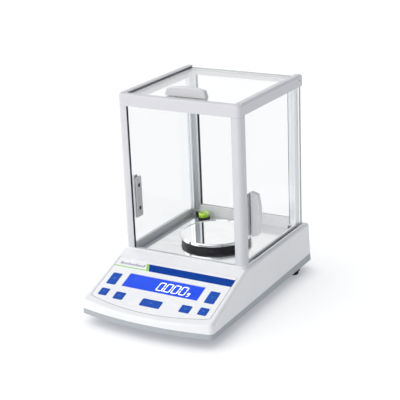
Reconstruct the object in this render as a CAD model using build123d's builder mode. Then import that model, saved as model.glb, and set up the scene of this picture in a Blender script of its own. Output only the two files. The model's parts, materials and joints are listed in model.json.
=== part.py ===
from build123d import *
from math import cos, radians, sin, tan
import os

# Analytical balance with a glass draft shield, in millimetres.
# +Z is up, the operator stands at -Y, and the origin is the centre of the whole
# object's footprint, on the surface that the feet stand on.

# ---- driving dimensions: case ----
CASE_HALF_WIDTH = 107.5     # at the rear
CASE_FLARE = 2.0            # how much wider each side is at the front corners
CASE_CORNER_Y = -158.0      # front corners of the case
CASE_BOW = 12.0             # how far the front edge bulges ahead of its corners
CASE_REAR_Y = 170.0
CASE_CORNER_RADIUS = 8.0
CASE_BOTTOM_Z = 16.0        # underside of the tray, held up by the feet
CASE_TOP_Z = 77.5
SIDE_TAPER = 2.85           # degrees the walls lean inwards
EDGE_RADIUS = 4.0
WALL = 2.6
TRAY_WALL = 3.0
BAND_TOP_Z = 25.8           # middle height of the line where housing and tray meet
BAND_SLOPE = 0.65           # degrees that line rises towards the rear

# ---- driving dimensions: sloping control panel ----
PANEL_ANGLE = 20.26
PANEL_ORIGIN_Y = -153.5
PANEL_ORIGIN_Z = 38.8       # height of the panel surface at PANEL_ORIGIN_Y
OVERLAY_HALF_WIDTH = 99.5
OVERLAY_REAR = 94.0         # distances up the slope from the panel's origin
OVERLAY_CORNER = 7.4
OVERLAY_FRONT = -7.0
OVERLAY_THICKNESS = 0.6
OUTLINE_GAP = 0.35
DISPLAY_SIZE = (126.9, 28.5)
DISPLAY_CENTRE = 50.25
LENS_THICKNESS = 1.0
KEY_GAP = 0.3
KEY_PROUD = 0.4
KEY_TRAVEL = 0.5
BOARD_DEPTH = 8.0           # keypad board's face below the panel surface
# name: centre across, centre along the slope, width, length
KEYS = {
    "left_tall_key": (-82.45, 47.4, 15.5, 24.0),
    "right_tall_key": (82.45, 47.4, 15.5, 24.0),
    "left_outer_key": (-83.1, 18.5, 14.0, 14.2),
    "right_outer_key": (83.1, 18.5, 14.0, 14.2),
    "left_inner_key": (-55.3, 16.4, 16.2, 14.4),
    "right_inner_key": (55.3, 16.4, 16.2, 14.4),
    "centre_key": (0.0, 13.6, 33.0, 14.4),
}

# ---- driving dimensions: weighing chamber ----
SHIELD_HALF_WIDTH = 101.0
SHIELD_FRONT_Y = -46.0
SHIELD_REAR_Y = 151.0
SHIELD_CORNER_RADIUS = 7.0
SILL_TOP_Z = 80.5
LIP_TOP_Z = 83.0
LIP_X = (92.8, 95.6)         # faces of the raised lip inside each door groove
WELL_HALF_WIDTH = 95.3
WELL_FRONT_Y = -40.5
WELL_REAR_Y = 142.5
FLOOR_Z = 73.0
FLOOR_THICKNESS = 1.5
FRAME_BOTTOM_Z = 300.2
FRONT_BAR_TOP_Z = 318.0
FRONT_BAR_DEPTH = 9.5
SIDE_BAR_BOTTOM_Z = 302.0
SIDE_BAR_TOP_Z = 319.2
SIDE_BAR_INNER_X = 89.5
REAR_BAR_BOTTOM_Z = 306.8
REAR_BAR_TOP_Z = 313.5
POST_INNER_X = 86.5
POST_PLATE_DEPTH = 5.0
POST_LEG_INNER_X = 93.0
POST_DEPTH = 13.5
GLASS = 2.5
GROOVE_CLEARANCE = 0.3
SEAM = 0.5                  # eased edge that marks the joint between post and top frame
LINER = 0.8                 # thickness of the dark strip over the top glass
DOOR_INNER_X = 96.0
DOOR_FRONT_Y = -35.5
TOP_GLASS_Z = 313.9
TOP_GLASS_HALF_WIDTH = 92.5
TOP_GLASS_FRONT_Y = -38.2
FRONT_GLASS_Y = -44.5
REAR_GLASS_Y = 147.0
REAR_LEG = (87.8, 94.6)     # inner and outer faces of the rear post's leg
REAR_LEG_FRONT_Y = 136.5
REAR_FLANGE_INNER_X = 80.5
REAR_FLANGE_FRONT_Y = 145.5
REAR_GLASS_GROOVE_Z = 310.0 # top of the groove that holds the rear glass

# ---- driving dimensions: door handles ----
HANDLE_LENGTH = 68.0
HANDLE_THICKNESS = 9.0
HANDLE_HEIGHT = 14.0
HANDLE_SCREW_SPACING = 36.0
CLAMP_LENGTH = 62.5
CLAMP_WIDTH = 14.0
CLAMP_THICKNESS = 2.5
SCREW_HEAD_RADIUS = 2.9
SCREW_RECESS = 1.6
SIDE_HANDLE_Y = -13.0
SIDE_HANDLE_Z = 150.7
TOP_HANDLE_Y = -18.0

# ---- driving dimensions: pan and weighing cell ----
PAN_Y = 52.3
PAN_RADIUS = 55.5
PAN_TOP_Z = 85.6
PAN_RIM_BOTTOM_Z = 81.2
RING_RADIUS = 53.8
RING_TOP_Z = 80.3
STEM_HOLE_RADIUS = 10.0
CELL_FLOOR_Z = 24.0
CELL_DECK_Z = 29.0
FULCRUM_Y = 86.4
LINK_Y = 66.4
COIL_Y = 122.0
LEVER_Z = (50.0, 55.0)
GUIDE_TOP_Z = 62.0
GUIDE_THICKNESS = 1.0

# ---- driving dimensions: feet and level ----
REAR_FOOT = (91.0, 135.5)
FRONT_FOOT = (78.0, -108.0)
FOOT_PAD_TOP_Z = 5.5
FOOT_WHEEL_Z = (5.8, 12.2)
FOOT_WHEEL_RADIUS = 10.0
STUD_RADIUS = 3.0           # over the thread
STUD_CORE_RADIUS = 2.6      # under the thread
RUNNING_FIT = 0.05
LEVEL_PLACE = (-65.0, 127.5)
LEVEL_RADIUS = 8.5

PANEL = Plane(
    origin=(0, PANEL_ORIGIN_Y, PANEL_ORIGIN_Z),
    x_dir=(1, 0, 0),
    z_dir=(0, -sin(radians(PANEL_ANGLE)), cos(radians(PANEL_ANGLE))),
)
BAND = Plane(
    origin=(0, 0, BAND_TOP_Z),
    x_dir=(1, 0, 0),
    z_dir=(0, -sin(radians(BAND_SLOPE)), cos(radians(BAND_SLOPE))),
)
SIDES = {"left": -1, "right": 1}


def save(part, label):
    """Names a finished piece and writes it as its own STEP file."""
    part.label = label
    export_step(part, f"parts/{label}.step")


def box_between(low, high, mode=Mode.ADD):
    """Adds a box between two opposite corners to the part being built."""
    low, high = [min(a, b) for a, b in zip(low, high)], [max(a, b) for a, b in zip(low, high)]
    with Locations([tuple((a + b) / 2 for a, b in zip(low, high))]):
        Box(*(b - a for a, b in zip(low, high)), mode=mode)


def rod(x, y, bottom, top, radius, mode=Mode.ADD):
    """Adds an upright cylinder to the part being built."""
    with Locations((x, y, (bottom + top) / 2)):
        Cylinder(radius, top - bottom, mode=mode)


def panel_pad(centre, size, above, below, corner, mode=Mode.ADD):
    """Adds a rounded pad square to the control panel, from above to below its surface."""
    with BuildSketch(PANEL.offset(above)) as pad:
        with Locations(centre):
            RectangleRounded(*size, corner)
    extrude(pad.sketch, amount=-(above + below), mode=mode)


def case_volume(inset, bottom, top):
    """The tapered outer volume of the case, drawn in by inset, under its top and panel faces."""
    lean = tan(radians(SIDE_TAPER)) * (bottom - CASE_BOTTOM_Z)
    half = CASE_HALF_WIDTH - inset - lean
    front_half = half + CASE_FLARE
    corner_y = CASE_CORNER_Y + inset + lean
    rear_y = CASE_REAR_Y - inset - lean
    with BuildPart() as volume:
        with BuildSketch(Plane.XY.offset(bottom)) as outline:
            with BuildLine():
                Polyline((front_half, corner_y), (half, rear_y), (-half, rear_y), (-front_half, corner_y))
                ThreePointArc((-front_half, corner_y), (0, corner_y - CASE_BOW), (front_half, corner_y))
            make_face()
            fillet(outline.vertices(), CASE_CORNER_RADIUS - inset)
        extrude(amount=top - bottom, taper=SIDE_TAPER)
        with BuildSketch(PANEL.offset(-inset)):
            Rectangle(3 * CASE_HALF_WIDTH, 4 * CASE_HALF_WIDTH)
        extrude(amount=CASE_HALF_WIDTH, mode=Mode.SUBTRACT)
    return volume.part


# ---- case ----
CASE_SCREWS = [(x, y) for x in (-94, 94) for y in (-74, 154)]
BOARD_POSTS = [(x, s) for x in (-70.5, 70.5) for s in (30.5, 70.5)]
JACK = (-62.0, 52.0)
SERIAL = (48.0, 48.0)
JACK_SCREW_SPACING = 25.0


def make_top_housing():
    """White upper shell: sloping panel, flat deck and the recessed well under the chamber."""
    hollow = case_volume(WALL, BAND_TOP_Z - 8, CASE_TOP_Z - WALL)
    outer = case_volume(0, CASE_BOTTOM_Z, CASE_TOP_Z)
    with BuildPart() as housing:
        add(outer)
        top_face = housing.faces().filter_by(Axis.Z).sort_by(Axis.Z)[-1]
        panel_face = housing.faces().sort_by_distance(PANEL.origin).filter_by(
            lambda face: (face.normal_at() - PANEL.z_dir).length < 0.01)[0]
        rims = [edge for edge in top_face.edges() + panel_face.edges()
                if not (abs((edge @ 0.5).X) < 1 and -60 < (edge @ 0.5).Y < 0)]
        fillet(rims, EDGE_RADIUS)
        with BuildSketch(BAND):
            Rectangle(3 * CASE_HALF_WIDTH, 4 * CASE_HALF_WIDTH)
        extrude(amount=-CASE_HALF_WIDTH, mode=Mode.SUBTRACT)
        add(hollow, mode=Mode.SUBTRACT)
        # tub that carries the chamber floor
        box_between((-WELL_HALF_WIDTH - WALL, WELL_FRONT_Y - WALL, FLOOR_Z - FLOOR_THICKNESS - WALL),
                    (WELL_HALF_WIDTH + WALL, WELL_REAR_Y + WALL, CASE_TOP_Z - WALL))
        box_between((-WELL_HALF_WIDTH, WELL_FRONT_Y, FLOOR_Z - FLOOR_THICKNESS),
                    (WELL_HALF_WIDTH, WELL_REAR_Y, CASE_TOP_Z + 1), mode=Mode.SUBTRACT)
        rod(0, PAN_Y, CASE_BOTTOM_Z, CASE_TOP_Z, STEM_HOLE_RADIUS, mode=Mode.SUBTRACT)
        # shallow bed for the overlay, and windows for the display and keys
        extrude(overlay_outline(OUTLINE_GAP), amount=-OVERLAY_THICKNESS, mode=Mode.SUBTRACT)
        panel_pad((0, DISPLAY_CENTRE), tuple(side + 0.3 for side in DISPLAY_SIZE), 1, 6, 0.8,
                  mode=Mode.SUBTRACT)
        for across, along, width, length in KEYS.values():
            panel_pad((across, along), (width + 2 * KEY_GAP, length + 2 * KEY_GAP), 1, 6, 2.0,
                      mode=Mode.SUBTRACT)
        # posts for the keypad board
        with BuildSketch(PANEL.offset(-BOARD_DEPTH)):
            with Locations(BOARD_POSTS):
                Circle(2.6)
        extrude(amount=BOARD_DEPTH - 1)
        with BuildSketch(PANEL.offset(-BOARD_DEPTH)):
            with Locations(BOARD_POSTS):
                Circle(1.0)
        extrude(amount=5, mode=Mode.SUBTRACT)
        # screw bosses down to the tray
        for x, y in CASE_SCREWS:
            ceiling = 65.6 if y < 0 else CASE_TOP_Z - 1
            rod(x, y, 24.5, ceiling, 4.0)
            rod(x, y, 24.0, 40.0, 1.45, mode=Mode.SUBTRACT)
        # openings in the rear wall for the sockets and the jack screws
        wall_inside = CASE_REAR_Y - 10
        box_between((JACK[0] - 7.2, wall_inside, JACK[1] - 7.2),
                    (JACK[0] + 7.2, CASE_REAR_Y + 1, JACK[1] + 7.2), mode=Mode.SUBTRACT)
        box_between((SERIAL[0] - 10.2, wall_inside, SERIAL[1] - 6.2),
                    (SERIAL[0] + 10.2, CASE_REAR_Y + 1, SERIAL[1] + 6.2), mode=Mode.SUBTRACT)
        with BuildSketch(Plane.XZ.offset(-wall_inside)):
            with Locations([(SERIAL[0] + k * JACK_SCREW_SPACING / 2, SERIAL[1]) for k in (-1, 1)]):
                Circle(1.6)
        extrude(amount=-11, mode=Mode.SUBTRACT)
    return housing.part


def overlay_outline(grow):
    """Face of the panel overlay: square at the rear, bowed along the front edge."""
    half = OVERLAY_HALF_WIDTH + grow
    with BuildSketch(PANEL) as face:
        with BuildLine():
            Line((half, OVERLAY_CORNER - grow), (half, OVERLAY_REAR + grow))
            Line((half, OVERLAY_REAR + grow), (-half, OVERLAY_REAR + grow))
            Line((-half, OVERLAY_REAR + grow), (-half, OVERLAY_CORNER - grow))
            ThreePointArc((-half, OVERLAY_CORNER - grow), (0, OVERLAY_FRONT - grow),
                          (half, OVERLAY_CORNER - grow))
        make_face()
    return face.sketch


def make_base_tray():
    """Grey tray under the housing, with standoffs for the cell, the board and the feet."""
    pocket = case_volume(TRAY_WALL, CASE_BOTTOM_Z + TRAY_WALL, CASE_TOP_Z - WALL)
    outer = case_volume(0, CASE_BOTTOM_Z, CASE_TOP_Z)
    floor_top = CASE_BOTTOM_Z + TRAY_WALL
    with BuildPart() as tray:
        add(outer)
        with BuildSketch(BAND):
            Rectangle(3 * CASE_HALF_WIDTH, 4 * CASE_HALF_WIDTH)
        extrude(amount=CASE_HALF_WIDTH, mode=Mode.SUBTRACT)
        add(pocket, mode=Mode.SUBTRACT)
        for x, y in CASE_SCREWS:
            rod(x, y, floor_top, 24.5, 5.0)
            rod(x, y, CASE_BOTTOM_Z, 24.5, 1.8, mode=Mode.SUBTRACT)
            rod(x, y, CASE_BOTTOM_Z, CASE_BOTTOM_Z + 2.5, 3.2, mode=Mode.SUBTRACT)
        for x in (-REAR_FOOT[0], REAR_FOOT[0]):
            rod(x, REAR_FOOT[1], floor_top, 38.0, 7.0)
            rod(x, REAR_FOOT[1], CASE_BOTTOM_Z, 36.0, STUD_RADIUS + RUNNING_FIT, mode=Mode.SUBTRACT)
        for x in (-24, 24):
            for y in (38, 140):
                rod(x, y, floor_top, CELL_FLOOR_Z, 5.0)
        for x in (-52, 52):
            for y in (-94, -34):
                rod(x, y, floor_top, CELL_FLOOR_Z, 3.0)
    return tray.part


# ---- control panel ----
def make_control_overlay():
    """Printed sheet over the panel, cut out round the display window and the keys."""
    with BuildPart() as overlay:
        extrude(overlay_outline(0), amount=-OVERLAY_THICKNESS)
        with BuildSketch(PANEL):
            with Locations((0, DISPLAY_CENTRE)):
                Rectangle(*DISPLAY_SIZE)
            for across, along, width, length in KEYS.values():
                with Locations((across, along)):
                    RectangleRounded(width + 2 * KEY_GAP, length + 2 * KEY_GAP, 2.0)
        extrude(amount=-OVERLAY_THICKNESS, mode=Mode.SUBTRACT)
    return overlay.part


def make_display_lens():
    """Clear window flush with the overlay, over the display."""
    with BuildPart() as lens:
        with BuildSketch(PANEL):
            with Locations((0, DISPLAY_CENTRE)):
                Rectangle(DISPLAY_SIZE[0] - 0.2, DISPLAY_SIZE[1] - 0.2)
        extrude(amount=-LENS_THICKNESS)
    return lens.part


def make_lcd_panel():
    """Display module: a glass that fills the window and a wider body behind the wall."""
    with BuildPart() as lcd:
        with BuildSketch(PANEL.offset(-LENS_THICKNESS)):
            with Locations((0, DISPLAY_CENTRE)):
                Rectangle(DISPLAY_SIZE[0] - 0.5, DISPLAY_SIZE[1] - 0.5)
        extrude(amount=-2.2)
        with BuildSketch(PANEL.offset(-WALL - 0.6)):
            with Locations((0, DISPLAY_CENTRE)):
                Rectangle(134, 34)
        extrude(amount=-(BOARD_DEPTH - WALL - 0.6))
    return lcd.part


def make_key(across, along, width, length):
    """Key pad that stands just proud of the overlay, with a flange that stops it inside."""
    with BuildPart() as key:
        panel_pad((across, along), (width, length), KEY_PROUD, WALL + 0.3, 1.7)
        fillet(key.faces().sort_by_distance(PANEL.offset(10).from_local_coords(
            (across, along, 0)))[0].edges(), 0.3)
        panel_pad((across, along), (width + 2.0, length + 2.0), -(WALL + 0.3), WALL + 1.3, 1.7)
    return key.part


def make_keypad_board():
    """Circuit board that carries the display module and the key domes."""
    with BuildPart() as board:
        with BuildSketch(PANEL.offset(-BOARD_DEPTH)):
            with Locations((0, 40)):
                Rectangle(188, 68)
            with Locations(BOARD_POSTS):
                Circle(1.3, mode=Mode.SUBTRACT)
        extrude(amount=-1.6)
    return board.part


def make_dome_switches():
    """Seven rubber domes, one under each key."""
    with BuildPart() as domes:
        with BuildSketch(PANEL.offset(-BOARD_DEPTH)):
            with Locations([(key[0], key[1]) for key in KEYS.values()]):
                Circle(3.8)
        extrude(amount=BOARD_DEPTH - WALL - 1.3 - KEY_TRAVEL - 0.1, taper=12)
    return domes.part


def make_main_board():
    """Main circuit board with its processor, converter, capacitors and sockets."""
    deck = CELL_FLOOR_Z + 1.6
    with BuildPart() as board:
        box_between((-60, -100, CELL_FLOOR_Z), (60, -28, deck))
        for x, y, width, length, height in ((0, -62, 14, 14, 1.6), (-22, -80, 10, 8, 1.8),
                                            (24, -78, 12, 12, 1.6), (42, -50, 16, 10, 6),
                                            (-44, -60, 20, 14, 9), (0, -92, 40, 6, 5),
                                            (12, -36, 26, 6, 5)):
            box_between((x - width / 2, y - length / 2, deck),
                        (x + width / 2, y + length / 2, deck + height))
        for x, y in ((-28, -44), (-16, -44), (34, -92), (46, -84)):
            rod(x, y, deck, deck + 9, 3.5)
    return board.part


def make_power_jack():
    """Round low-voltage inlet: a flanged square block with a socket and its centre pin."""
    face = CASE_REAR_Y - 3.4
    flange = CASE_REAR_Y - 4.9
    with BuildPart() as jack:
        box_between((JACK[0] - 7, face - 14, JACK[1] - 7), (JACK[0] + 7, face, JACK[1] + 7))
        box_between((JACK[0] - 9, flange - 2, JACK[1] - 9), (JACK[0] + 9, flange, JACK[1] + 9))
        with BuildSketch(Plane.XZ.offset(-face)):
            with Locations((JACK[0], JACK[1])):
                Circle(3.2)
        extrude(amount=11, mode=Mode.SUBTRACT)
        with BuildSketch(Plane.XZ.offset(-face + 11)):
            with Locations((JACK[0], JACK[1])):
                Circle(1.05)
        extrude(amount=-9)
    return jack.part


def make_serial_port():
    """Nine-way data socket behind the rear wall, and the two hexagonal screws that hold it."""
    flange = CASE_REAR_Y - 4.6
    shell_face = CASE_REAR_Y - 1.6
    screws = [(SERIAL[0] + k * JACK_SCREW_SPACING / 2, SERIAL[1]) for k in (-1, 1)]
    with BuildPart() as port:
        box_between((SERIAL[0] - 15.5, flange - 8, SERIAL[1] - 6),
                    (SERIAL[0] + 15.5, flange, SERIAL[1] + 6))
        with BuildSketch(Plane.XZ.offset(-flange)):
            with BuildLine():
                Polyline((SERIAL[0] - 8.6, SERIAL[1] + 4.1), (SERIAL[0] + 8.6, SERIAL[1] + 4.1),
                         (SERIAL[0] + 7.2, SERIAL[1] - 4.1), (SERIAL[0] - 7.2, SERIAL[1] - 4.1),
                         close=True)
            make_face()
        extrude(amount=-(shell_face - flange))
        holes = [(SERIAL[0] + 2.76 * (column - 2), SERIAL[1] + 1.42) for column in range(5)]
        holes += [(SERIAL[0] + 2.76 * (column - 1.5), SERIAL[1] - 1.42) for column in range(4)]
        with BuildSketch(Plane.XZ.offset(-shell_face)):
            with Locations(holes):
                Circle(0.5)
        extrude(amount=4, mode=Mode.SUBTRACT)
        with BuildSketch(Plane.XZ.offset(-flange)):
            with Locations(screws):
                Circle(1.5)
        extrude(amount=6, mode=Mode.SUBTRACT)
    with BuildPart() as bolts:
        with BuildSketch(Plane.XZ.offset(-(flange - 6))):
            with Locations(screws):
                Circle(1.5)
        extrude(amount=-(CASE_REAR_Y - 1.4 - flange + 6))
        with BuildSketch(Plane.XZ.offset(-(CASE_REAR_Y - 1.4))):
            with Locations(screws):
                RegularPolygon(2.7, 6)
        extrude(amount=-1.2)
    return Compound(children=[port.part] + list(bolts.part.solids()))


# ---- weighing chamber frame ----
def groove_between(low, high):
    """Cuts a glass groove."""
    box_between(low, high, mode=Mode.SUBTRACT)


def make_shield_base():
    """White ring on the deck: sill, side rails with door grooves, and the rear rail."""
    with BuildPart() as ring:
        with BuildSketch(Plane.XY.offset(CASE_TOP_Z)) as outline:
            with Locations((0, (SHIELD_FRONT_Y + SHIELD_REAR_Y) / 2)):
                Rectangle(2 * SHIELD_HALF_WIDTH, SHIELD_REAR_Y - SHIELD_FRONT_Y)
            fillet(outline.vertices().group_by(Axis.Y)[0], SHIELD_CORNER_RADIUS)
        extrude(amount=SILL_TOP_Z - CASE_TOP_Z)
        for side in SIDES.values():
            box_between((side * LIP_X[0], SHIELD_FRONT_Y + POST_DEPTH + 0.2, CASE_TOP_Z),
                        (side * LIP_X[1], REAR_LEG_FRONT_Y - 0.5, LIP_TOP_Z))
        box_between((-LIP_X[0], WELL_FRONT_Y, CASE_TOP_Z), (LIP_X[0], WELL_REAR_Y, LIP_TOP_Z),
                    mode=Mode.SUBTRACT)
        # rear rail that holds the rear glass, between the rear posts
        box_between((-REAR_FLANGE_INNER_X + 0.3, WELL_REAR_Y, CASE_TOP_Z),
                    (REAR_FLANGE_INNER_X - 0.3, SHIELD_REAR_Y - 0.5, 89.0))
        groove_between((-REAR_FLANGE_INNER_X, REAR_GLASS_Y - GROOVE_CLEARANCE, 86.0),
                       (REAR_FLANGE_INNER_X, REAR_GLASS_Y + GLASS + GROOVE_CLEARANCE, 90.0))
        # grooves for the two side doors and for the front glass
        for side in SIDES.values():
            groove_between((side * (DOOR_INNER_X - GROOVE_CLEARANCE), DOOR_FRONT_Y - 1, 78.3),
                           (side * (DOOR_INNER_X + GLASS + GROOVE_CLEARANCE), SHIELD_REAR_Y + 1, 84.0))
        groove_between((-POST_INNER_X, FRONT_GLASS_Y - GROOVE_CLEARANCE, 78.5),
                       (POST_INNER_X, FRONT_GLASS_Y + GLASS + GROOVE_CLEARANCE, 81.0))
    return ring.part


def make_front_post(side):
    """White front post: a rounded corner plate with a leg that takes the door's front edge."""
    with BuildPart() as post:
        with BuildSketch(Plane.XY.offset(SILL_TOP_Z)) as section:
            with BuildLine():
                Polyline((side * POST_INNER_X, SHIELD_FRONT_Y),
                         (side * SHIELD_HALF_WIDTH, SHIELD_FRONT_Y),
                         (side * SHIELD_HALF_WIDTH, SHIELD_FRONT_Y + POST_DEPTH),
                         (side * POST_LEG_INNER_X, SHIELD_FRONT_Y + POST_DEPTH),
                         (side * POST_LEG_INNER_X, SHIELD_FRONT_Y + POST_PLATE_DEPTH),
                         (side * POST_INNER_X, SHIELD_FRONT_Y + POST_PLATE_DEPTH),
                         close=True)
            make_face()
            outer = section.vertices().sort_by_distance((side * SHIELD_HALF_WIDTH, SHIELD_FRONT_Y,
                                                         SILL_TOP_Z))[0]
            fillet(outer, SHIELD_CORNER_RADIUS)
        extrude(amount=FRAME_BOTTOM_Z - SILL_TOP_Z)
        top_rim = post.faces().sort_by(Axis.Z)[-1].edges()
        front_rim = [edge for edge in top_rim
                     if (edge @ 0.5).Y < SHIELD_FRONT_Y + 3 and abs((edge @ 0.5).X) > POST_INNER_X + 0.1]
        side_rim = [edge for edge in top_rim if abs((edge @ 0.5).X) > SHIELD_HALF_WIDTH - 0.1]
        chamfer(front_rim + side_rim, SEAM)
        groove_between((side * (DOOR_INNER_X - GROOVE_CLEARANCE), DOOR_FRONT_Y - 1, SILL_TOP_Z - 1),
                       (side * (DOOR_INNER_X + GLASS + GROOVE_CLEARANCE), SHIELD_FRONT_Y + POST_DEPTH + 1,
                        FRAME_BOTTOM_Z + 1))
    return post.part


def make_rear_post(side):
    """Aluminium angle at a rear corner, grooved for the rear glass, notched under the side bar."""
    shoulder = SIDE_BAR_INNER_X - 0.2
    with BuildPart() as post:
        for top, outer in ((SIDE_BAR_BOTTOM_Z, REAR_LEG[1]), (REAR_BAR_TOP_Z, shoulder)):
            box_between((side * REAR_LEG[0], REAR_LEG_FRONT_Y, SILL_TOP_Z),
                        (side * outer, SHIELD_REAR_Y - 0.5, top))
            box_between((side * REAR_FLANGE_INNER_X, REAR_FLANGE_FRONT_Y, SILL_TOP_Z),
                        (side * outer, SHIELD_REAR_Y - 0.5, top))
        groove_between((side * (REAR_FLANGE_INNER_X - 1), REAR_GLASS_Y - GROOVE_CLEARANCE, 85.0),
                       (side * 86.5, REAR_GLASS_Y + GLASS + GROOVE_CLEARANCE, REAR_GLASS_GROOVE_Z))
        # shallow flutes down the leg's front and inner faces
        groove_between((side * 90.6, REAR_LEG_FRONT_Y - 1, SILL_TOP_Z - 1),
                       (side * 91.8, REAR_LEG_FRONT_Y + 0.8, SIDE_BAR_BOTTOM_Z + 1))
        groove_between((side * (REAR_LEG[0] - 1), 140.4, SILL_TOP_Z - 1),
                       (side * (REAR_LEG[0] + 0.8), 141.6, REAR_BAR_TOP_Z + 1))
    return post.part


def make_top_front_bar():
    """White front bar of the top frame, with the two corner blocks over the posts."""
    rear = SHIELD_FRONT_Y + FRONT_BAR_DEPTH
    with BuildPart() as bar:
        with BuildSketch(Plane.XY.offset(FRAME_BOTTOM_Z)) as outline:
            with Locations((0, (SHIELD_FRONT_Y + rear) / 2)):
                Rectangle(2 * SHIELD_HALF_WIDTH, FRONT_BAR_DEPTH)
            fillet(outline.vertices().group_by(Axis.Y)[0], SHIELD_CORNER_RADIUS)
        extrude(amount=FRONT_BAR_TOP_Z - FRAME_BOTTOM_Z)
        front_rim = bar.faces().sort_by(Axis.Z)[-1].edges().sort_by(Axis.Y)[:-1]
        fillet(front_rim, 2.5)
        for side in SIDES.values():
            box_between((side * SIDE_BAR_INNER_X, rear - 1, FRAME_BOTTOM_Z),
                        (side * SHIELD_HALF_WIDTH, SHIELD_FRONT_Y + POST_DEPTH, SIDE_BAR_BOTTOM_Z))
            groove_between((side * (DOOR_INNER_X - GROOVE_CLEARANCE), DOOR_FRONT_Y - 1,
                            FRAME_BOTTOM_Z - 1),
                           (side * (DOOR_INNER_X + GLASS + GROOVE_CLEARANCE), rear + 5, 308.0))
        groove_between((-POST_INNER_X, FRONT_GLASS_Y - GROOVE_CLEARANCE, FRAME_BOTTOM_Z - 1),
                       (POST_INNER_X, FRONT_GLASS_Y + GLASS + GROOVE_CLEARANCE, 304.0))
        groove_between((-TOP_GLASS_HALF_WIDTH - 0.4, TOP_GLASS_FRONT_Y - 0.3,
                        TOP_GLASS_Z - GROOVE_CLEARANCE),
                       (TOP_GLASS_HALF_WIDTH + 0.4, rear + 1, TOP_GLASS_Z + GLASS + GROOVE_CLEARANCE))
    return bar.part


def make_top_side_bar(side):
    """White side bar: a slot for the top glass inside, and a groove for the door below."""
    front = SHIELD_FRONT_Y + FRONT_BAR_DEPTH
    with BuildPart() as bar:
        box_between((side * SIDE_BAR_INNER_X, front, SIDE_BAR_BOTTOM_Z),
                    (side * SHIELD_HALF_WIDTH, SHIELD_REAR_Y + 1.5, SIDE_BAR_TOP_Z))
        crown = bar.edges().filter_by(Axis.Y).group_by(Axis.Z)[-1]
        outer_crown = crown.sort_by(Axis.X)[-1 if side > 0 else 0]
        fillet(outer_crown, 4.0)
        crown = bar.edges().filter_by(Axis.Y).group_by(Axis.Z)[-1]
        inner_crown = crown.sort_by(Axis.X)[0 if side > 0 else -1]
        fillet(inner_crown, 1.2)
        groove_between((side * (SIDE_BAR_INNER_X - 1), front - 1, TOP_GLASS_Z - GROOVE_CLEARANCE),
                       (side * (TOP_GLASS_HALF_WIDTH + 0.4), SHIELD_REAR_Y + 3,
                        TOP_GLASS_Z + GLASS + 0.2 + LINER))
        groove_between((side * (DOOR_INNER_X - GROOVE_CLEARANCE), front - 1, SIDE_BAR_BOTTOM_Z - 1),
                       (side * (DOOR_INNER_X + GLASS + GROOVE_CLEARANCE), SHIELD_REAR_Y + 3, 308.0))
    return bar.part


def make_top_rear_bar():
    """Low rear bar between the rear posts, under the path of the top glass."""
    with BuildPart() as bar:
        box_between((-REAR_FLANGE_INNER_X, WELL_REAR_Y, REAR_BAR_BOTTOM_Z),
                    (REAR_FLANGE_INNER_X, SHIELD_REAR_Y - 0.5, REAR_BAR_TOP_Z))
        fillet(bar.edges().filter_by(Axis.X).group_by(Axis.Z)[-1], 1.2)
        groove_between((-REAR_FLANGE_INNER_X - 1, REAR_GLASS_Y - GROOVE_CLEARANCE, REAR_BAR_BOTTOM_Z - 1),
                       (REAR_FLANGE_INNER_X + 1, REAR_GLASS_Y + GLASS + GROOVE_CLEARANCE,
                        REAR_GLASS_GROOVE_Z))
    return bar.part


# ---- glass and handles ----
def make_pane(low, high):
    """A flat pane with slightly eased edges."""
    with BuildPart() as pane:
        box_between(low, high)
        chamfer(pane.edges(), 0.2)
    return pane.part


def make_side_door(side):
    """Side door: pane with two holes for the handle's screws."""
    with BuildPart() as pane:
        box_between((side * DOOR_INNER_X, DOOR_FRONT_Y, 78.7),
                    (side * (DOOR_INNER_X + GLASS), SHIELD_REAR_Y + 0.5, 307.0))
        chamfer(pane.edges(), 0.2)
        with BuildSketch(Plane.YZ.offset(side * (DOOR_INNER_X - 1))):
            with Locations([(SIDE_HANDLE_Y, SIDE_HANDLE_Z + k * HANDLE_SCREW_SPACING / 2)
                            for k in (-1, 1)]):
                Circle(2.2)
        extrude(amount=side * (GLASS + 2), mode=Mode.SUBTRACT)
    return pane.part


def make_top_door():
    """Top door: pane with two holes for the handle's screws."""
    with BuildPart() as pane:
        box_between((-TOP_GLASS_HALF_WIDTH, TOP_GLASS_FRONT_Y, TOP_GLASS_Z),
                    (TOP_GLASS_HALF_WIDTH, SHIELD_REAR_Y - 0.5, TOP_GLASS_Z + GLASS))
        chamfer(pane.edges(), 0.2)
        for k in (-1, 1):
            rod(k * HANDLE_SCREW_SPACING / 2, TOP_HANDLE_Y, TOP_GLASS_Z - 1, TOP_GLASS_Z + GLASS + 1, 2.2,
                mode=Mode.SUBTRACT)
    return pane.part


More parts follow.
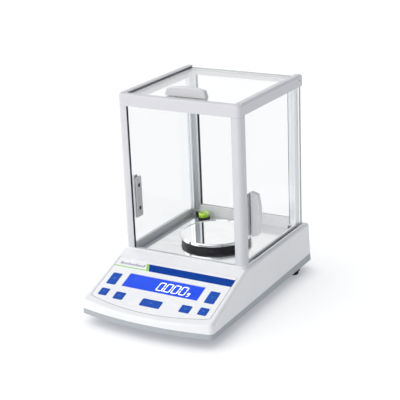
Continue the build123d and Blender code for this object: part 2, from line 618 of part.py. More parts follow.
def make_handle(plane):
    """Arched grip outside the glass, and the flat plate inside that it is clamped to.

    The plane's X runs along the grip, and its Y is the way the grip stands off the glass.
    """
    half = HANDLE_LENGTH / 2
    with BuildPart() as handle:
        with BuildSketch(plane.offset(-HANDLE_THICKNESS / 2)):
            with BuildLine():
                Line((-half, 0), (half, 0))
                Line((half, 0), (half - 0.8, 3.2))
                Line((half - 0.8, 3.2), (half - 3.4, HANDLE_HEIGHT - 3.4))
                ThreePointArc((half - 3.4, HANDLE_HEIGHT - 3.4), (0, HANDLE_HEIGHT),
                              (-half + 3.4, HANDLE_HEIGHT - 3.4))
                Line((-half + 3.4, HANDLE_HEIGHT - 3.4), (-half + 0.8, 3.2))
                Line((-half + 0.8, 3.2), (-half, 0))
            make_face()
        extrude(amount=HANDLE_THICKNESS)
        rounded = [edge for edge in handle.edges()
                   if plane.to_local_coords(edge @ 0.5).Y > 1.0]
        fillet(rounded, 1.2)
        for k in (-1, 1):
            with BuildSketch(Plane(origin=plane.from_local_coords((k * HANDLE_SCREW_SPACING / 2, 0, 0)),
                                   x_dir=plane.x_dir, z_dir=plane.y_dir)):
                Circle(1.5)
            extrude(amount=9, mode=Mode.SUBTRACT)
    inner_face = Plane(origin=plane.from_local_coords((0, -GLASS - CLAMP_THICKNESS, 0)),
                       x_dir=plane.x_dir, z_dir=plane.y_dir)
    screws = [(k * HANDLE_SCREW_SPACING / 2, 0) for k in (-1, 1)]
    with BuildPart() as clamp:
        with BuildSketch(inner_face):
            RectangleRounded(CLAMP_LENGTH, CLAMP_WIDTH, 2.0)
        extrude(amount=CLAMP_THICKNESS)
        with BuildSketch(inner_face):
            with Locations(screws):
                Circle(1.6)
        extrude(amount=CLAMP_THICKNESS, mode=Mode.SUBTRACT)
        with BuildSketch(inner_face):
            with Locations(screws):
                Circle(SCREW_HEAD_RADIUS + 0.2)
        extrude(amount=SCREW_RECESS, mode=Mode.SUBTRACT)
    return Compound(children=[handle.part, clamp.part])


def make_handle_screws(plane):
    """Two screws, sunk in the inner plate, through the glass and into the grip."""
    with BuildPart() as screws:
        for k in (-1, 1):
            seat = Plane(origin=plane.from_local_coords(
                (k * HANDLE_SCREW_SPACING / 2, SCREW_RECESS - GLASS - CLAMP_THICKNESS, 0)),
                x_dir=plane.x_dir, z_dir=plane.y_dir)
            with BuildSketch(seat):
                Circle(1.47)
            extrude(amount=GLASS + CLAMP_THICKNESS - SCREW_RECESS + 8)
            with BuildSketch(seat):
                Circle(SCREW_HEAD_RADIUS)
            extrude(amount=-SCREW_RECESS + 0.2)
            with BuildSketch(seat.offset(-SCREW_RECESS + 0.2)):
                Rectangle(3.4, 0.7)
                Rectangle(0.7, 3.4)
            extrude(amount=0.9, mode=Mode.SUBTRACT)
    return screws.part


def handle_planes():
    """Where each handle stands on its glass: local X along the grip, local Y off the glass."""
    planes = {"top": Plane(origin=(0, TOP_HANDLE_Y, TOP_GLASS_Z + GLASS), x_dir=(1, 0, 0),
                           z_dir=(0, -1, 0))}
    for name, side in SIDES.items():
        planes[name] = Plane(origin=(side * (DOOR_INNER_X + GLASS), SIDE_HANDLE_Y, SIDE_HANDLE_Z),
                             x_dir=(0, 0, -side), z_dir=(0, -1, 0))
    return planes


def make_glass_seals():
    """Dark strips beside the front and rear glass, along the side door grooves and over the top glass."""
    with BuildPart() as seals:
        for side in SIDES.values():
            box_between((side * (POST_INNER_X - 0.8), FRONT_GLASS_Y, 81.0),
                        (side * POST_INNER_X, FRONT_GLASS_Y + GLASS, FRAME_BOTTOM_Z))
            for front, rear in ((REAR_FLANGE_FRONT_Y, REAR_GLASS_Y - 0.1),
                                (REAR_GLASS_Y + GLASS + 0.1, SHIELD_REAR_Y - 0.5)):
                box_between((side * (REAR_FLANGE_INNER_X - 0.9), front, 89.2),
                            (side * REAR_FLANGE_INNER_X, rear, REAR_BAR_BOTTOM_Z))
            box_between((side * (DOOR_INNER_X + GLASS + 0.05), -14.0, 78.3),
                        (side * (DOOR_INNER_X + GLASS + 0.29), 135.0, SILL_TOP_Z + 0.4))
            box_between((side * (DOOR_INNER_X + GLASS + 0.05), -14.0, SILL_TOP_Z),
                        (side * (DOOR_INNER_X + GLASS + 0.9), 135.0, SILL_TOP_Z + 0.4))
            box_between((side * (SIDE_BAR_INNER_X + 0.1), SHIELD_FRONT_Y + FRONT_BAR_DEPTH,
                         TOP_GLASS_Z + GLASS + 0.2),
                        (side * TOP_GLASS_HALF_WIDTH, SHIELD_REAR_Y + 1.5,
                         TOP_GLASS_Z + GLASS + 0.2 + LINER))
    return seals.part


def make_floor_plate():
    """Polished steel floor of the chamber, with the hole for the pan's stem."""
    with BuildPart() as plate:
        box_between((-WELL_HALF_WIDTH + 0.3, WELL_FRONT_Y + 0.3, FLOOR_Z - FLOOR_THICKNESS),
                    (WELL_HALF_WIDTH - 0.3, WELL_REAR_Y - 0.3, FLOOR_Z))
        rod(0, PAN_Y, FLOOR_Z - 3, FLOOR_Z + 1, STEM_HOLE_RADIUS, mode=Mode.SUBTRACT)
    return plate.part


def make_corner_clips():
    """Two black clips that fix the rear posts' feet to the chamber floor."""
    with BuildPart() as clips:
        for side in SIDES.values():
            rod(side * 83.5, 139.0, FLOOR_Z, FLOOR_Z + 4.5, 3.2)
            box_between((side * 82.0, 139.0, FLOOR_Z), (side * 85.0, 142.2, FLOOR_Z + 3.0))
    return clips.part


# ---- pan and weighing cell ----
def make_weighing_pan():
    """Round polished pan: flat centre, raised rolled rim, and a skirt."""
    with BuildPart() as pan:
        with BuildSketch(Plane.XZ.offset(-PAN_Y)):
            with BuildLine():
                Polyline((0, PAN_TOP_Z - 2.0), (0, PAN_TOP_Z - 0.9), (PAN_RADIUS - 3.6, PAN_TOP_Z - 0.9),
                         (PAN_RADIUS - 2.4, PAN_TOP_Z - 0.1))
                ThreePointArc((PAN_RADIUS - 2.4, PAN_TOP_Z - 0.1), (PAN_RADIUS - 0.7, PAN_TOP_Z - 0.4),
                              (PAN_RADIUS, PAN_TOP_Z - 1.8))
                Polyline((PAN_RADIUS, PAN_TOP_Z - 1.8), (PAN_RADIUS, PAN_RIM_BOTTOM_Z),
                         (PAN_RADIUS - 1.0, PAN_RIM_BOTTOM_Z), (PAN_RADIUS - 1.0, PAN_TOP_Z - 2.0),
                         (0, PAN_TOP_Z - 2.0))
            make_face()
        revolve(axis=Axis((0, PAN_Y, 0), (0, 0, 1)))
    return pan.part


def make_pan_support():
    """Hub and four arms under the pan, with the socket that drops on to the stem."""
    underside = PAN_TOP_Z - 2.0
    with BuildPart() as support:
        rod(0, PAN_Y, 74.5, underside, 9.0)
        for angle in (45, 135):
            with Locations(Location((0, PAN_Y, underside - 1.2), (0, 0, angle))):
                Box(96, 7, 2.4)
        rod(0, PAN_Y, 73.0, 80.0, 4.05, mode=Mode.SUBTRACT)
    return support.part


def make_draft_ring():
    """Black ring on the chamber floor, under the pan's rim."""
    with BuildPart() as ring:
        rod(0, PAN_Y, FLOOR_Z, RING_TOP_Z, RING_RADIUS)
        rod(0, PAN_Y, FLOOR_Z - 1, RING_TOP_Z + 1, RING_RADIUS - 2.5, mode=Mode.SUBTRACT)
        fillet(ring.edges().group_by(Axis.Z)[-1], 0.8)
    return ring.part


def make_load_receiver():
    """Block that hangs between the guides, carries the stem, and pulls on the lever."""
    with BuildPart() as receiver:
        box_between((-11, PAN_Y - 8, 31.0), (11, PAN_Y + 8, GUIDE_TOP_Z))
        box_between((-4, PAN_Y + 7, 39.0), (4, LINK_Y + 3, 44.5))
        rod(0, PAN_Y, GUIDE_TOP_Z - 1, 80.0, 4.0)
        chamfer(receiver.faces().sort_by(Axis.Z)[-1].edges(), 1.0)
    return receiver.part


def make_cell_chassis():
    """Cast frame of the cell: deck, two pillars, the bridge, and the lower guide's clamp."""
    with BuildPart() as chassis:
        box_between((-32, 30, CELL_FLOOR_Z), (32, 148, CELL_DECK_Z))
        for side in SIDES.values():
            box_between((side * 14, 82, CELL_DECK_Z), (side * 22, 104, GUIDE_TOP_Z))
        box_between((-14, 82, 58.0), (14, 91, GUIDE_TOP_Z))
        box_between((-14, 92, 31.0), (14, 98, 36.0))
        for x in (-24, 24):
            rod(x, 38, CELL_FLOOR_Z, CELL_DECK_Z, 2.2, mode=Mode.SUBTRACT)
            rod(x, 140, CELL_FLOOR_Z, CELL_DECK_Z, 2.2, mode=Mode.SUBTRACT)
    return chassis.part


def make_parallel_guides():
    """The two thin guide plates that keep the load receiver upright."""
    with BuildPart() as guides:
        for bottom, half_width in ((GUIDE_TOP_Z, 18), (31.0 - GUIDE_THICKNESS, 12)):
            box_between((-half_width, PAN_Y - 6, bottom), (half_width, 98, bottom + GUIDE_THICKNESS))
            box_between((-half_width + 5, 62, bottom), (half_width - 5, 82, bottom + GUIDE_THICKNESS),
                        mode=Mode.SUBTRACT)
        rod(0, PAN_Y, GUIDE_TOP_Z - 1, GUIDE_TOP_Z + 2, 4.6, mode=Mode.SUBTRACT)
    return guides.part


def make_flexure_leaves():
    """Two spring leaves: the fulcrum under the bridge, and the link to the receiver."""
    with BuildPart() as leaves:
        box_between((-4, FULCRUM_Y - 0.3, LEVER_Z[1]), (4, FULCRUM_Y + 0.3, 58.0))
        box_between((-3, LINK_Y - 0.3, 44.5), (3, LINK_Y + 0.3, LEVER_Z[0]))
    return leaves.part


def make_lever_beam():
    """Transmission lever, with the sensor's slotted flag at its far end."""
    with BuildPart() as lever:
        box_between((-4.5, LINK_Y - 3, LEVER_Z[0]), (4.5, COIL_Y + 5, LEVER_Z[1]))
        for y in (76, 98, 110):
            rod(0, y, LEVER_Z[0] - 1, LEVER_Z[1] + 1, 2.6, mode=Mode.SUBTRACT)
        box_between((-0.6, COIL_Y + 4, 50.5), (0.6, COIL_Y + 14, 54.5))
    return lever.part


def make_force_coil():
    """Coil former hung from the lever, and the winding round it."""
    with BuildPart() as coil:
        rod(0, COIL_Y, 46.2, 47.6, 13.6)
        rod(0, COIL_Y, 47.6, LEVER_Z[0], 4.0)
        rod(0, COIL_Y, 37.0, 46.2, 11.8)
        rod(0, COIL_Y, 36.0, 46.2, 11.0, mode=Mode.SUBTRACT)
    with BuildPart() as winding:
        rod(0, COIL_Y, 37.0, 45.6, 13.6)
        rod(0, COIL_Y, 36.0, 46.2, 11.85, mode=Mode.SUBTRACT)
    return Compound(children=[coil.part, winding.part])


def make_magnet_yoke():
    """Iron pot that closes the field round the coil."""
    with BuildPart() as yoke:
        rod(0, COIL_Y, CELL_DECK_Z, 44.0, 20.0)
        rod(0, COIL_Y, 32.0, 45.0, 16.0, mode=Mode.SUBTRACT)
    return yoke.part


def make_magnet_core():
    """Round magnet with its iron pole piece, inside the pot."""
    with BuildPart() as magnet:
        rod(0, COIL_Y, 32.0, 39.0, 9.0)
    with BuildPart() as pole:
        rod(0, COIL_Y, 39.0, 43.5, 9.4)
    return Compound(children=[magnet.part, pole.part])


def make_position_sensor():
    """Optical fork that watches the lever's flag."""
    with BuildPart() as sensor:
        box_between((-9, 142.5, CELL_DECK_Z), (9, 144.1, 60))
        box_between((-6, 132, 48.8), (6, 142.5, 58))
        box_between((-2, 131, 49.6), (2, 140, 59), mode=Mode.SUBTRACT)
    return sensor.part


# ---- feet, level and screws ----
def make_foot_wheel(side):
    """Levelling wheel with its screw, scalloped for the fingers."""
    x, y = side * REAR_FOOT[0], REAR_FOOT[1]
    with BuildPart() as wheel:
        rod(x, y, *FOOT_WHEEL_Z, FOOT_WHEEL_RADIUS)
        chamfer(wheel.edges(), 0.7)
        with Locations((x, y, sum(FOOT_WHEEL_Z) / 2)):
            with PolarLocations(FOOT_WHEEL_RADIUS + 0.9, 16):
                Cylinder(1.5, 8, mode=Mode.SUBTRACT)
        rod(x, y, FOOT_WHEEL_Z[1] - 1, 31.0, STUD_CORE_RADIUS)
        rod(x, y, 2.6, FOOT_WHEEL_Z[0] + 1, 2.0)
    return wheel.part


def make_foot_pad(side):
    """Rubber pad that the levelling screw turns in."""
    x, y = side * REAR_FOOT[0], REAR_FOOT[1]
    with BuildPart() as pad:
        rod(x, y, 0, FOOT_PAD_TOP_Z, 7.5)
        fillet(pad.edges().group_by(Axis.Z)[-1], 1.5)
        chamfer(pad.edges().group_by(Axis.Z)[0], 0.6)
        rod(x, y, 2.5, FOOT_PAD_TOP_Z + 1, 2.0 + RUNNING_FIT, mode=Mode.SUBTRACT)
    return pad.part


def make_front_feet():
    """Two fixed rubber feet under the front of the tray."""
    with BuildPart() as feet:
        for side in SIDES.values():
            with BuildSketch(Plane.XY):
                with Locations((side * FRONT_FOOT[0], FRONT_FOOT[1])):
                    Circle(8.0)
            extrude(amount=CASE_BOTTOM_Z, taper=-6)
        chamfer(feet.edges().group_by(Axis.Z)[0], 0.8)
    return feet.part


def make_level_holder():
    """Black socket that holds the bubble level on the chamber floor."""
    x, y = LEVEL_PLACE
    with BuildPart() as holder:
        rod(x, y, FLOOR_Z, FLOOR_Z + 3.2, LEVEL_RADIUS + 1.4)
        rod(x, y, FLOOR_Z + 1.2, FLOOR_Z + 4, LEVEL_RADIUS + RUNNING_FIT, mode=Mode.SUBTRACT)
        chamfer(holder.edges().group_by(Axis.Z)[-1].sort_by(SortBy.RADIUS)[-1], 0.5)
    return holder.part


def make_level_vial():
    """Round bubble level, filled with green fluid."""
    x, y = LEVEL_PLACE
    with BuildPart() as vial:
        rod(x, y, FLOOR_Z + 1.2, FLOOR_Z + 9.6, LEVEL_RADIUS)
        chamfer(vial.edges().group_by(Axis.Z)[-1], 0.6)
    return vial.part


def make_case_screws():
    """Screws from below into the housing, and those that hold the keypad board."""
    with BuildPart() as screws:
        for x, y in CASE_SCREWS:
            rod(x, y, CASE_BOTTOM_Z + 0.3, CASE_BOTTOM_Z + 2.4, 3.0)
            rod(x, y, CASE_BOTTOM_Z + 2.4, 36.0, 1.4)
            rod(x, y, CASE_BOTTOM_Z, CASE_BOTTOM_Z + 1.4, 1.0, mode=Mode.SUBTRACT)
        with BuildSketch(PANEL.offset(-BOARD_DEPTH - 1.6)):
            with Locations(BOARD_POSTS):
                Circle(2.2)
        extrude(amount=-1.5)
        with BuildSketch(PANEL.offset(-BOARD_DEPTH - 1.6)):
            with Locations(BOARD_POSTS):
                Circle(0.95)
        extrude(amount=5)
    return screws.part


def main():
    os.makedirs("parts", exist_ok=True)
    save(make_base_tray(), "base_tray")
    save(make_top_housing(), "top_housing")
    save(make_control_overlay(), "control_overlay")
    save(make_display_lens(), "display_lens")
    save(make_lcd_panel(), "lcd_panel")
    for name, key in KEYS.items():
        save(make_key(*key), name)
    save(make_keypad_board(), "keypad_board")
    save(make_dome_switches(), "dome_switches")
    save(make_main_board(), "main_board")
    save(make_power_jack(), "power_jack")
    save(make_serial_port(), "serial_port")
    save(make_case_screws(), "case_screws")

    save(make_shield_base(), "shield_base")
    save(make_top_front_bar(), "top_front_bar")
    save(make_top_rear_bar(), "top_rear_bar")
    for name, side in SIDES.items():
        save(make_front_post(side), f"front_{name}_post")
        save(make_rear_post(side), f"rear_{name}_post")
        save(make_top_side_bar(side), f"top_{name}_bar")
        save(make_side_door(side), f"{name}_door_glass")
        save(make_foot_wheel(side), f"{name}_foot_wheel")
        save(make_foot_pad(side), f"{name}_foot_pad")
    save(make_pane((-POST_INNER_X + 0.8, FRONT_GLASS_Y, 78.7),
                   (POST_INNER_X - 0.8, FRONT_GLASS_Y + GLASS, 303.5)), "front_glass")
    save(make_pane((-86.2, REAR_GLASS_Y, 86.2), (86.2, REAR_GLASS_Y + GLASS, 309.5)), "rear_glass")
    save(make_top_door(), "top_door_glass")
    for name, plane in handle_planes().items():
        save(make_handle(plane), f"{name}_handle")
        save(make_handle_screws(plane), f"{name}_handle_screws")
    save(make_glass_seals(), "glass_seals")
    save(make_floor_plate(), "floor_plate")
    save(make_corner_clips(), "corner_clips")
    save(make_level_holder(), "level_holder")
    save(make_level_vial(), "level_vial")
    save(make_front_feet(), "front_feet")

    save(make_draft_ring(), "draft_ring")
    save(make_weighing_pan(), "weighing_pan")
    save(make_pan_support(), "pan_support")
    save(make_load_receiver(), "load_receiver")
    save(make_cell_chassis(), "cell_chassis")
    save(make_parallel_guides(), "parallel_guides")
    save(make_flexure_leaves(), "flexure_leaves")
    save(make_lever_beam(), "lever_beam")
    save(make_force_coil(), "force_coil")
    save(make_magnet_yoke(), "magnet_yoke")
    save(make_magnet_core(), "magnet_core")
    save(make_position_sensor(), "position_sensor")


main()
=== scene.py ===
import json
from math import atan2, cos, pi, radians, sin

import bmesh
import bpy
from mathutils import Matrix, Vector


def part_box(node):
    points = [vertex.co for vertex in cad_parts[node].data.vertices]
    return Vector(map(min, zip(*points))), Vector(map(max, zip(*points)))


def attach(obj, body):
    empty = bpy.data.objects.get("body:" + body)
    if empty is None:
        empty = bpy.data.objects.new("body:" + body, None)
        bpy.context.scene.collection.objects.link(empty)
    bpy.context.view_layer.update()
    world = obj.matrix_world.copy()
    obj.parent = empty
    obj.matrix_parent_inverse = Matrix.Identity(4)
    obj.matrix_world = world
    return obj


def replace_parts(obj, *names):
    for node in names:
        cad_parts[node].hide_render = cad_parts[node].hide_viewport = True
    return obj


# Looks of an analytical balance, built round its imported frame. Lengths are metres.
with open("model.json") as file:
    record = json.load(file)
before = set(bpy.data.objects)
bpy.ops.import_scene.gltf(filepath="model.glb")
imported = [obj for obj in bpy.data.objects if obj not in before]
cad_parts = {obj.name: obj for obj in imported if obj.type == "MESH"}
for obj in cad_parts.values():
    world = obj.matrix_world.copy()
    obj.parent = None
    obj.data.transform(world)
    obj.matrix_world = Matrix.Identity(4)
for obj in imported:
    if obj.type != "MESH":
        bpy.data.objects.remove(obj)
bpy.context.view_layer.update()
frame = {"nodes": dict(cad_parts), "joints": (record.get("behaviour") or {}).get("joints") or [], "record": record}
NODES = frame["nodes"]
MM = 0.001

# ---- panel coordinates: x across, s up the slope from the display's centre, height off it ----
PRESS = next(j for j in frame["joints"] if j["name"] == "centre_key_press")["axis"]
PANEL_NORMAL = -Vector(PRESS).normalized()
PANEL_RIGHT = Vector((1, 0, 0))
PANEL_UP = PANEL_NORMAL.cross(PANEL_RIGHT)


def centre_of(node):
    """Middle of a node's box."""
    low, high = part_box(node)
    return (low + high) / 2


def reach_of(node, direction):
    """Furthest that a node's vertices go along a direction."""
    return max(v.co.dot(direction) for v in NODES[node].data.vertices)


PANEL_LEVEL = reach_of("control_overlay", PANEL_NORMAL)
LENS = centre_of("display_lens")
PANEL_ORIGIN = LENS + (PANEL_LEVEL - LENS.dot(PANEL_NORMAL)) * PANEL_NORMAL


def on_panel(x, s, height):
    """A point of the control panel, from millimetres in panel coordinates."""
    return PANEL_ORIGIN + MM * (x * PANEL_RIGHT + s * PANEL_UP + height * PANEL_NORMAL)


def panel_place(node):
    """Panel coordinates of a node's middle, in millimetres."""
    offset = centre_of(node) - PANEL_ORIGIN
    return offset.dot(PANEL_RIGHT) / MM, offset.dot(PANEL_UP) / MM


# ---- materials ----
TURNED_LINES = 2600            # scale of the turning marks on the pan
FRESNEL_POWER = 5.0            # how fast a clear sheet turns to a mirror at low angles
FILM_GRAIN = (2600, 0.000006)  # scale and depth of the grain of printed film

for imported in list(bpy.data.materials):
    bpy.data.materials.remove(imported)


class Finish:
    """One Principled material and the textures that vary it over the surface."""

    def __init__(self, name, colour, roughness, **sockets):
        self.material = bpy.data.materials.new(name)
        self.material.use_nodes = True
        self.nodes = self.material.node_tree.nodes
        self.links = self.material.node_tree.links
        self.shader = self.nodes["Principled BSDF"]
        self.colour = colour
        self.shader.inputs["Base Color"].default_value = (*colour, 1)
        self.shader.inputs["Roughness"].default_value = roughness
        for socket, value in sockets.items():
            self.shader.inputs[socket.replace("_", " ")].default_value = value
        self.place = self.nodes.new("ShaderNodeTexCoord").outputs["Object"]

    def noise(self, scale, detail=2.0, stretch=(1, 1, 1)):
        """Noise over the surface; a small stretch along an axis draws it out that way."""
        mapping = self.nodes.new("ShaderNodeMapping")
        mapping.inputs["Scale"].default_value = stretch
        self.links.new(self.place, mapping.inputs["Vector"])
        noise = self.nodes.new("ShaderNodeTexNoise")
        noise.inputs["Scale"].default_value = scale
        noise.inputs["Detail"].default_value = detail
        self.links.new(mapping.outputs["Vector"], noise.inputs["Vector"])
        return noise.outputs["Fac"]

    def cells(self, scale):
        """Distance to the nearest of many scattered points."""
        cells = self.nodes.new("ShaderNodeTexVoronoi")
        cells.inputs["Scale"].default_value = scale
        self.links.new(self.place, cells.inputs["Vector"])
        return cells.outputs["Distance"]

    def span(self, source, low, high, start=0.3, end=0.7):
        """Carries a texture's values from start..end over to low..high."""
        span = self.nodes.new("ShaderNodeMapRange")
        for socket, value in (("From Min", start), ("From Max", end), ("To Min", low), ("To Max", high)):
            span.inputs[socket].default_value = value
        self.links.new(source, span.inputs["Value"])
        return span.outputs["Result"]

    def between(self, source, first, second):
        """A colour that goes from first to second with the source."""
        mix = self.nodes.new("ShaderNodeMix")
        mix.data_type = "RGBA"
        self.links.new(source, mix.inputs["Factor"])
        mix.inputs["A"].default_value = (*first, 1)
        mix.inputs["B"].default_value = (*second, 1)
        return mix.outputs["Result"]

    def shade(self, source, share):
        """Lightens and darkens the colour by a share of itself."""
        darker = [value * (1 - share) for value in self.colour]
        lighter = [min(1.0, value * (1 + share)) for value in self.colour]
        self.links.new(self.between(self.span(source, 0, 1), darker, lighter),
                       self.shader.inputs["Base Color"])
        return self

    def blotch(self, source, other, share):
        """Mixes up to that share of another colour in where the source is high."""
        self.links.new(self.between(self.span(source, 0, share), self.colour, other),
                       self.shader.inputs["Base Color"])
        return self

    def polish(self, source, low, high):
        """Lets the roughness wander between two values."""
        self.links.new(self.span(source, low, high), self.shader.inputs["Roughness"])
        return self

    def relief(self, source, depth, strength):
        """Fine relief of that depth, in metres."""
        bump = self.nodes.new("ShaderNodeBump")
        bump.inputs["Distance"].default_value = depth
        bump.inputs["Strength"].default_value = strength
        self.links.new(source, bump.inputs["Height"])
        self.links.new(bump.outputs["Normal"], self.shader.inputs["Normal"])
        return self


def moulded(name, colour, roughness, grain=1500, depth=0.00002, **sockets):
    """Moulded plastic: faint clouding, patchy gloss and a fine grain."""
    made = Finish(name, colour, roughness, **sockets)
    made.shade(made.noise(14), 0.02)
    made.polish(made.noise(60), roughness * 0.85, roughness * 1.15)
    return made.relief(made.noise(grain), depth, 0.35)


def brushed(name, colour, roughness, stretch, scale=900, depth=0.000012):
    """Metal with fine lines drawn out along one axis."""
    made = Finish(name, colour, roughness, Metallic=1.0)
    lines = made.noise(scale, 4.0, stretch)
    made.shade(lines, 0.05)
    made.polish(made.noise(scale / 3, 2.0, stretch), roughness * 0.8, roughness * 1.25)
    return made.relief(lines, depth, 0.4)


def turned(name, colour, roughness, centre):
    """Polished metal with fine circular lines about an upright axis."""
    made = Finish(name, colour, roughness, Metallic=1.0)
    mapping = made.nodes.new("ShaderNodeMapping")
    mapping.inputs["Location"].default_value = (-centre.x, -centre.y, 0)
    made.links.new(made.place, mapping.inputs["Vector"])
    rings = made.nodes.new("ShaderNodeTexWave")
    rings.wave_type = "RINGS"
    rings.rings_direction = "Z"
    rings.inputs["Scale"].default_value = TURNED_LINES
    rings.inputs["Distortion"].default_value = 2.0
    rings.inputs["Detail"].default_value = 2.0
    made.links.new(mapping.outputs["Vector"], rings.inputs["Vector"])
    made.shade(made.noise(40), 0.02)
    made.polish(made.noise(90), roughness * 0.7, roughness * 1.4)
    return made.relief(rings.outputs["Fac"], 0.000002, 0.12)


def clear_sheet(name, clearest, dullest, shine):
    """Thin clear sheet: what is behind it shows unbent, and its face mirrors more at low angles."""
    made = Finish(name, (1, 1, 1), 0.02, Metallic=1.0)
    through = made.nodes.new("ShaderNodeBsdfTransparent")
    made.links.new(made.between(made.noise(9), clearest, dullest), through.inputs["Color"])
    made.polish(made.noise(50), 0.01, 0.04)
    facing = made.nodes.new("ShaderNodeLayerWeight")
    facing.inputs["Blend"].default_value = 0.5
    falloff = made.nodes.new("ShaderNodeMath")
    falloff.operation = "POWER"
    falloff.inputs[1].default_value = FRESNEL_POWER
    made.links.new(facing.outputs["Facing"], falloff.inputs[0])
    mix = made.nodes.new("ShaderNodeMixShader")
    made.links.new(made.span(falloff.outputs["Value"], shine, 1, 0, 1), mix.inputs["Fac"])
    made.links.new(through.outputs["BSDF"], mix.inputs[1])
    made.links.new(made.shader.outputs["BSDF"], mix.inputs[2])
    made.links.new(mix.outputs["Shader"], made.nodes["Material Output"].inputs["Surface"])
    return made


def lit_display():
    """Backlit blue display: evenly bright, with faint patches of a slightly different blue."""
    made = Finish("blue_display", (0.004, 0.020, 0.20), 0.35, Specular_IOR_Level=0.1)
    glow = made.between(made.span(made.noise(30), 0, 1), (0.006, 0.068, 0.72), (0.010, 0.082, 0.80))
    made.links.new(glow, made.shader.inputs["Emission Color"])
    made.shader.inputs["Emission Strength"].default_value = 0.9
    return made


def circuit_board():
    """Green solder mask with lighter copper tracks under it."""
    made = Finish("circuit_board", (0.010, 0.075, 0.030), 0.35, Coat_Weight=0.3)
    made.blotch(made.cells(420), (0.030, 0.160, 0.060), 0.8)
    made.polish(made.noise(300), 0.25, 0.45)
    return made.relief(made.cells(420), 0.00004, 0.4)


def winding():
    """Enamelled copper wire, wound in fine turns."""
    made = Finish("copper_wire", (0.48, 0.17, 0.07), 0.3, Metallic=1.0)
    turns = made.noise(500, 2.0, (0.05, 0.05, 6))
    made.shade(turns, 0.25)
    return made.relief(turns, 0.00008, 0.6)


def vial_fluid_painted_shade():
    """Bright lime fluid in a clear body, with painted shade darkening it towards the bottom and a painted glow
    that is stronger towards the top.
    """
    made = Finish("green_vial", (0.33, 0.70, 0.010), 0.08, Coat_Weight=1.0)
    split = made.nodes.new("ShaderNodeSeparateXYZ")
    made.links.new(made.place, split.inputs["Vector"])
    low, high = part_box("level_vial")
    height = made.span(split.outputs["Z"], 0, 1, low.z, high.z)
    # painted shade: the base colour darkens towards the bottom of the vial
    made.links.new(made.between(height, (0.10, 0.26, 0.002), (0.44, 0.72, 0.004)),
                   made.shader.inputs["Base Color"])
    # painted glow: emission, strongest at the top, on a vial that is no lamp
    made.links.new(made.between(height, (0.05, 0.13, 0.001), (0.42, 0.66, 0.003)),
                   made.shader.inputs["Emission Color"])
    made.shader.inputs["Emission Strength"].default_value = 0.25
    return made.polish(made.noise(200), 0.05, 0.15)


FINISHES = {
    "white_plastic": moulded("white_plastic", (0.765, 0.77, 0.785), 0.34, Coat_Weight=0.1),
    "white_frame": moulded("white_frame", (0.59, 0.59, 0.62), 0.40, 1800, 0.00001),
    "white_grip": moulded("white_grip", (0.64, 0.64, 0.655), 0.36, 1800, 0.00001),
    "grey_casting": moulded("grey_casting", (0.36, 0.385, 0.41), 0.50, 900, 0.00003),
    "overlay_film": moulded("overlay_film", (0.81, 0.82, 0.84), 0.26, *FILM_GRAIN),
    "clear_window": clear_sheet("clear_window", (0.99, 0.99, 1.0), (0.97, 0.97, 0.99), 0.012),
    "blue_display": lit_display(),
    "blue_key": moulded("blue_key", (0.018, 0.086, 0.43), 0.30, *FILM_GRAIN, Specular_IOR_Level=0.05),
    "circuit_board": circuit_board(),
    "clear_rubber": moulded("clear_rubber", (0.62, 0.62, 0.58), 0.5, Subsurface_Weight=0.3),
    "black_plastic": moulded("black_plastic", (0.006, 0.006, 0.010), 0.34, 1200, 0.00003,
                             Specular_IOR_Level=0.15),
    "black_rubber": moulded("black_rubber", (0.008, 0.008, 0.009), 0.6, 900, 0.00004,
                            Specular_IOR_Level=0.15),
    "plated_steel": brushed("plated_steel", (0.62, 0.63, 0.65), 0.22, (1, 1, 0.1)),
    "black_steel": moulded("black_steel", (0.012, 0.012, 0.013), 0.45, 900, 0.00002, Metallic=0.5),
    "stainless_steel": brushed("stainless_steel", (0.83, 0.84, 0.85), 0.13, (0.2, 1, 1), 120, 0.000004),
    "mirror_steel": turned("mirror_steel", (0.93, 0.935, 0.94), 0.04, centre_of("weighing_pan")),
    "anodised_aluminium": brushed("anodised_aluminium", (0.80, 0.82, 0.84), 0.36, (1, 1, 0.03),
                                  300, 0.000006),
    "cast_aluminium": moulded("cast_aluminium", (0.55, 0.56, 0.57), 0.42, 700, 0.00006, Metallic=1.0),
    "spring_steel": brushed("spring_steel", (0.42, 0.43, 0.45), 0.30, (1, 0.04, 1)),
    "copper_wire": winding(),
    "soft_iron": moulded("soft_iron", (0.30, 0.30, 0.31), 0.38, 800, 0.00004, Metallic=0.9),
    "clear_glass": clear_sheet("clear_glass", (0.972, 0.974, 0.974), (0.966, 0.968, 0.968), 0.006),
    "green_vial": vial_fluid_painted_shade(),
}
GLASS_EDGE = moulded("glass_edge", (0.42, 0.47, 0.46), 0.25, 500, 0.00001)
BUBBLE = moulded("level_bubble", (0.62, 0.90, 0.30), 0.12, Coat_Weight=1.0)
CLAMP_GASKET = moulded("clamp_gasket", (0.10, 0.10, 0.105), 0.5, 900, 0.00002)
STRIPE_BLUE = moulded("printed_blue", (0.002, 0.046, 0.305), 0.28, *FILM_GRAIN, Specular_IOR_Level=0.05)
NAVY_INK = moulded("printed_navy", (0.012, 0.025, 0.16), 0.28, *FILM_GRAIN)
LIME_INK = moulded("printed_lime", (0.27, 0.62, 0.045), 0.26, *FILM_GRAIN)
# grey painted shade, for the line round the overlay's edge and the socket of each bar plug
GREY_SHADE = moulded("painted_grey_shade", (0.16, 0.15, 0.15), 0.35, *FILM_GRAIN)
PALE_INK = moulded("printed_pale_blue", (0.09, 0.20, 0.58), 0.30, *FILM_GRAIN)
DIGIT_LIGHT = moulded("display_digit", (0.85, 0.90, 1.0), 0.4)
DIGIT_LIGHT.shader.inputs["Emission Color"].default_value = (0.80, 0.88, 1.0, 1)
DIGIT_LIGHT.shader.inputs["Emission Strength"].default_value = 0.75

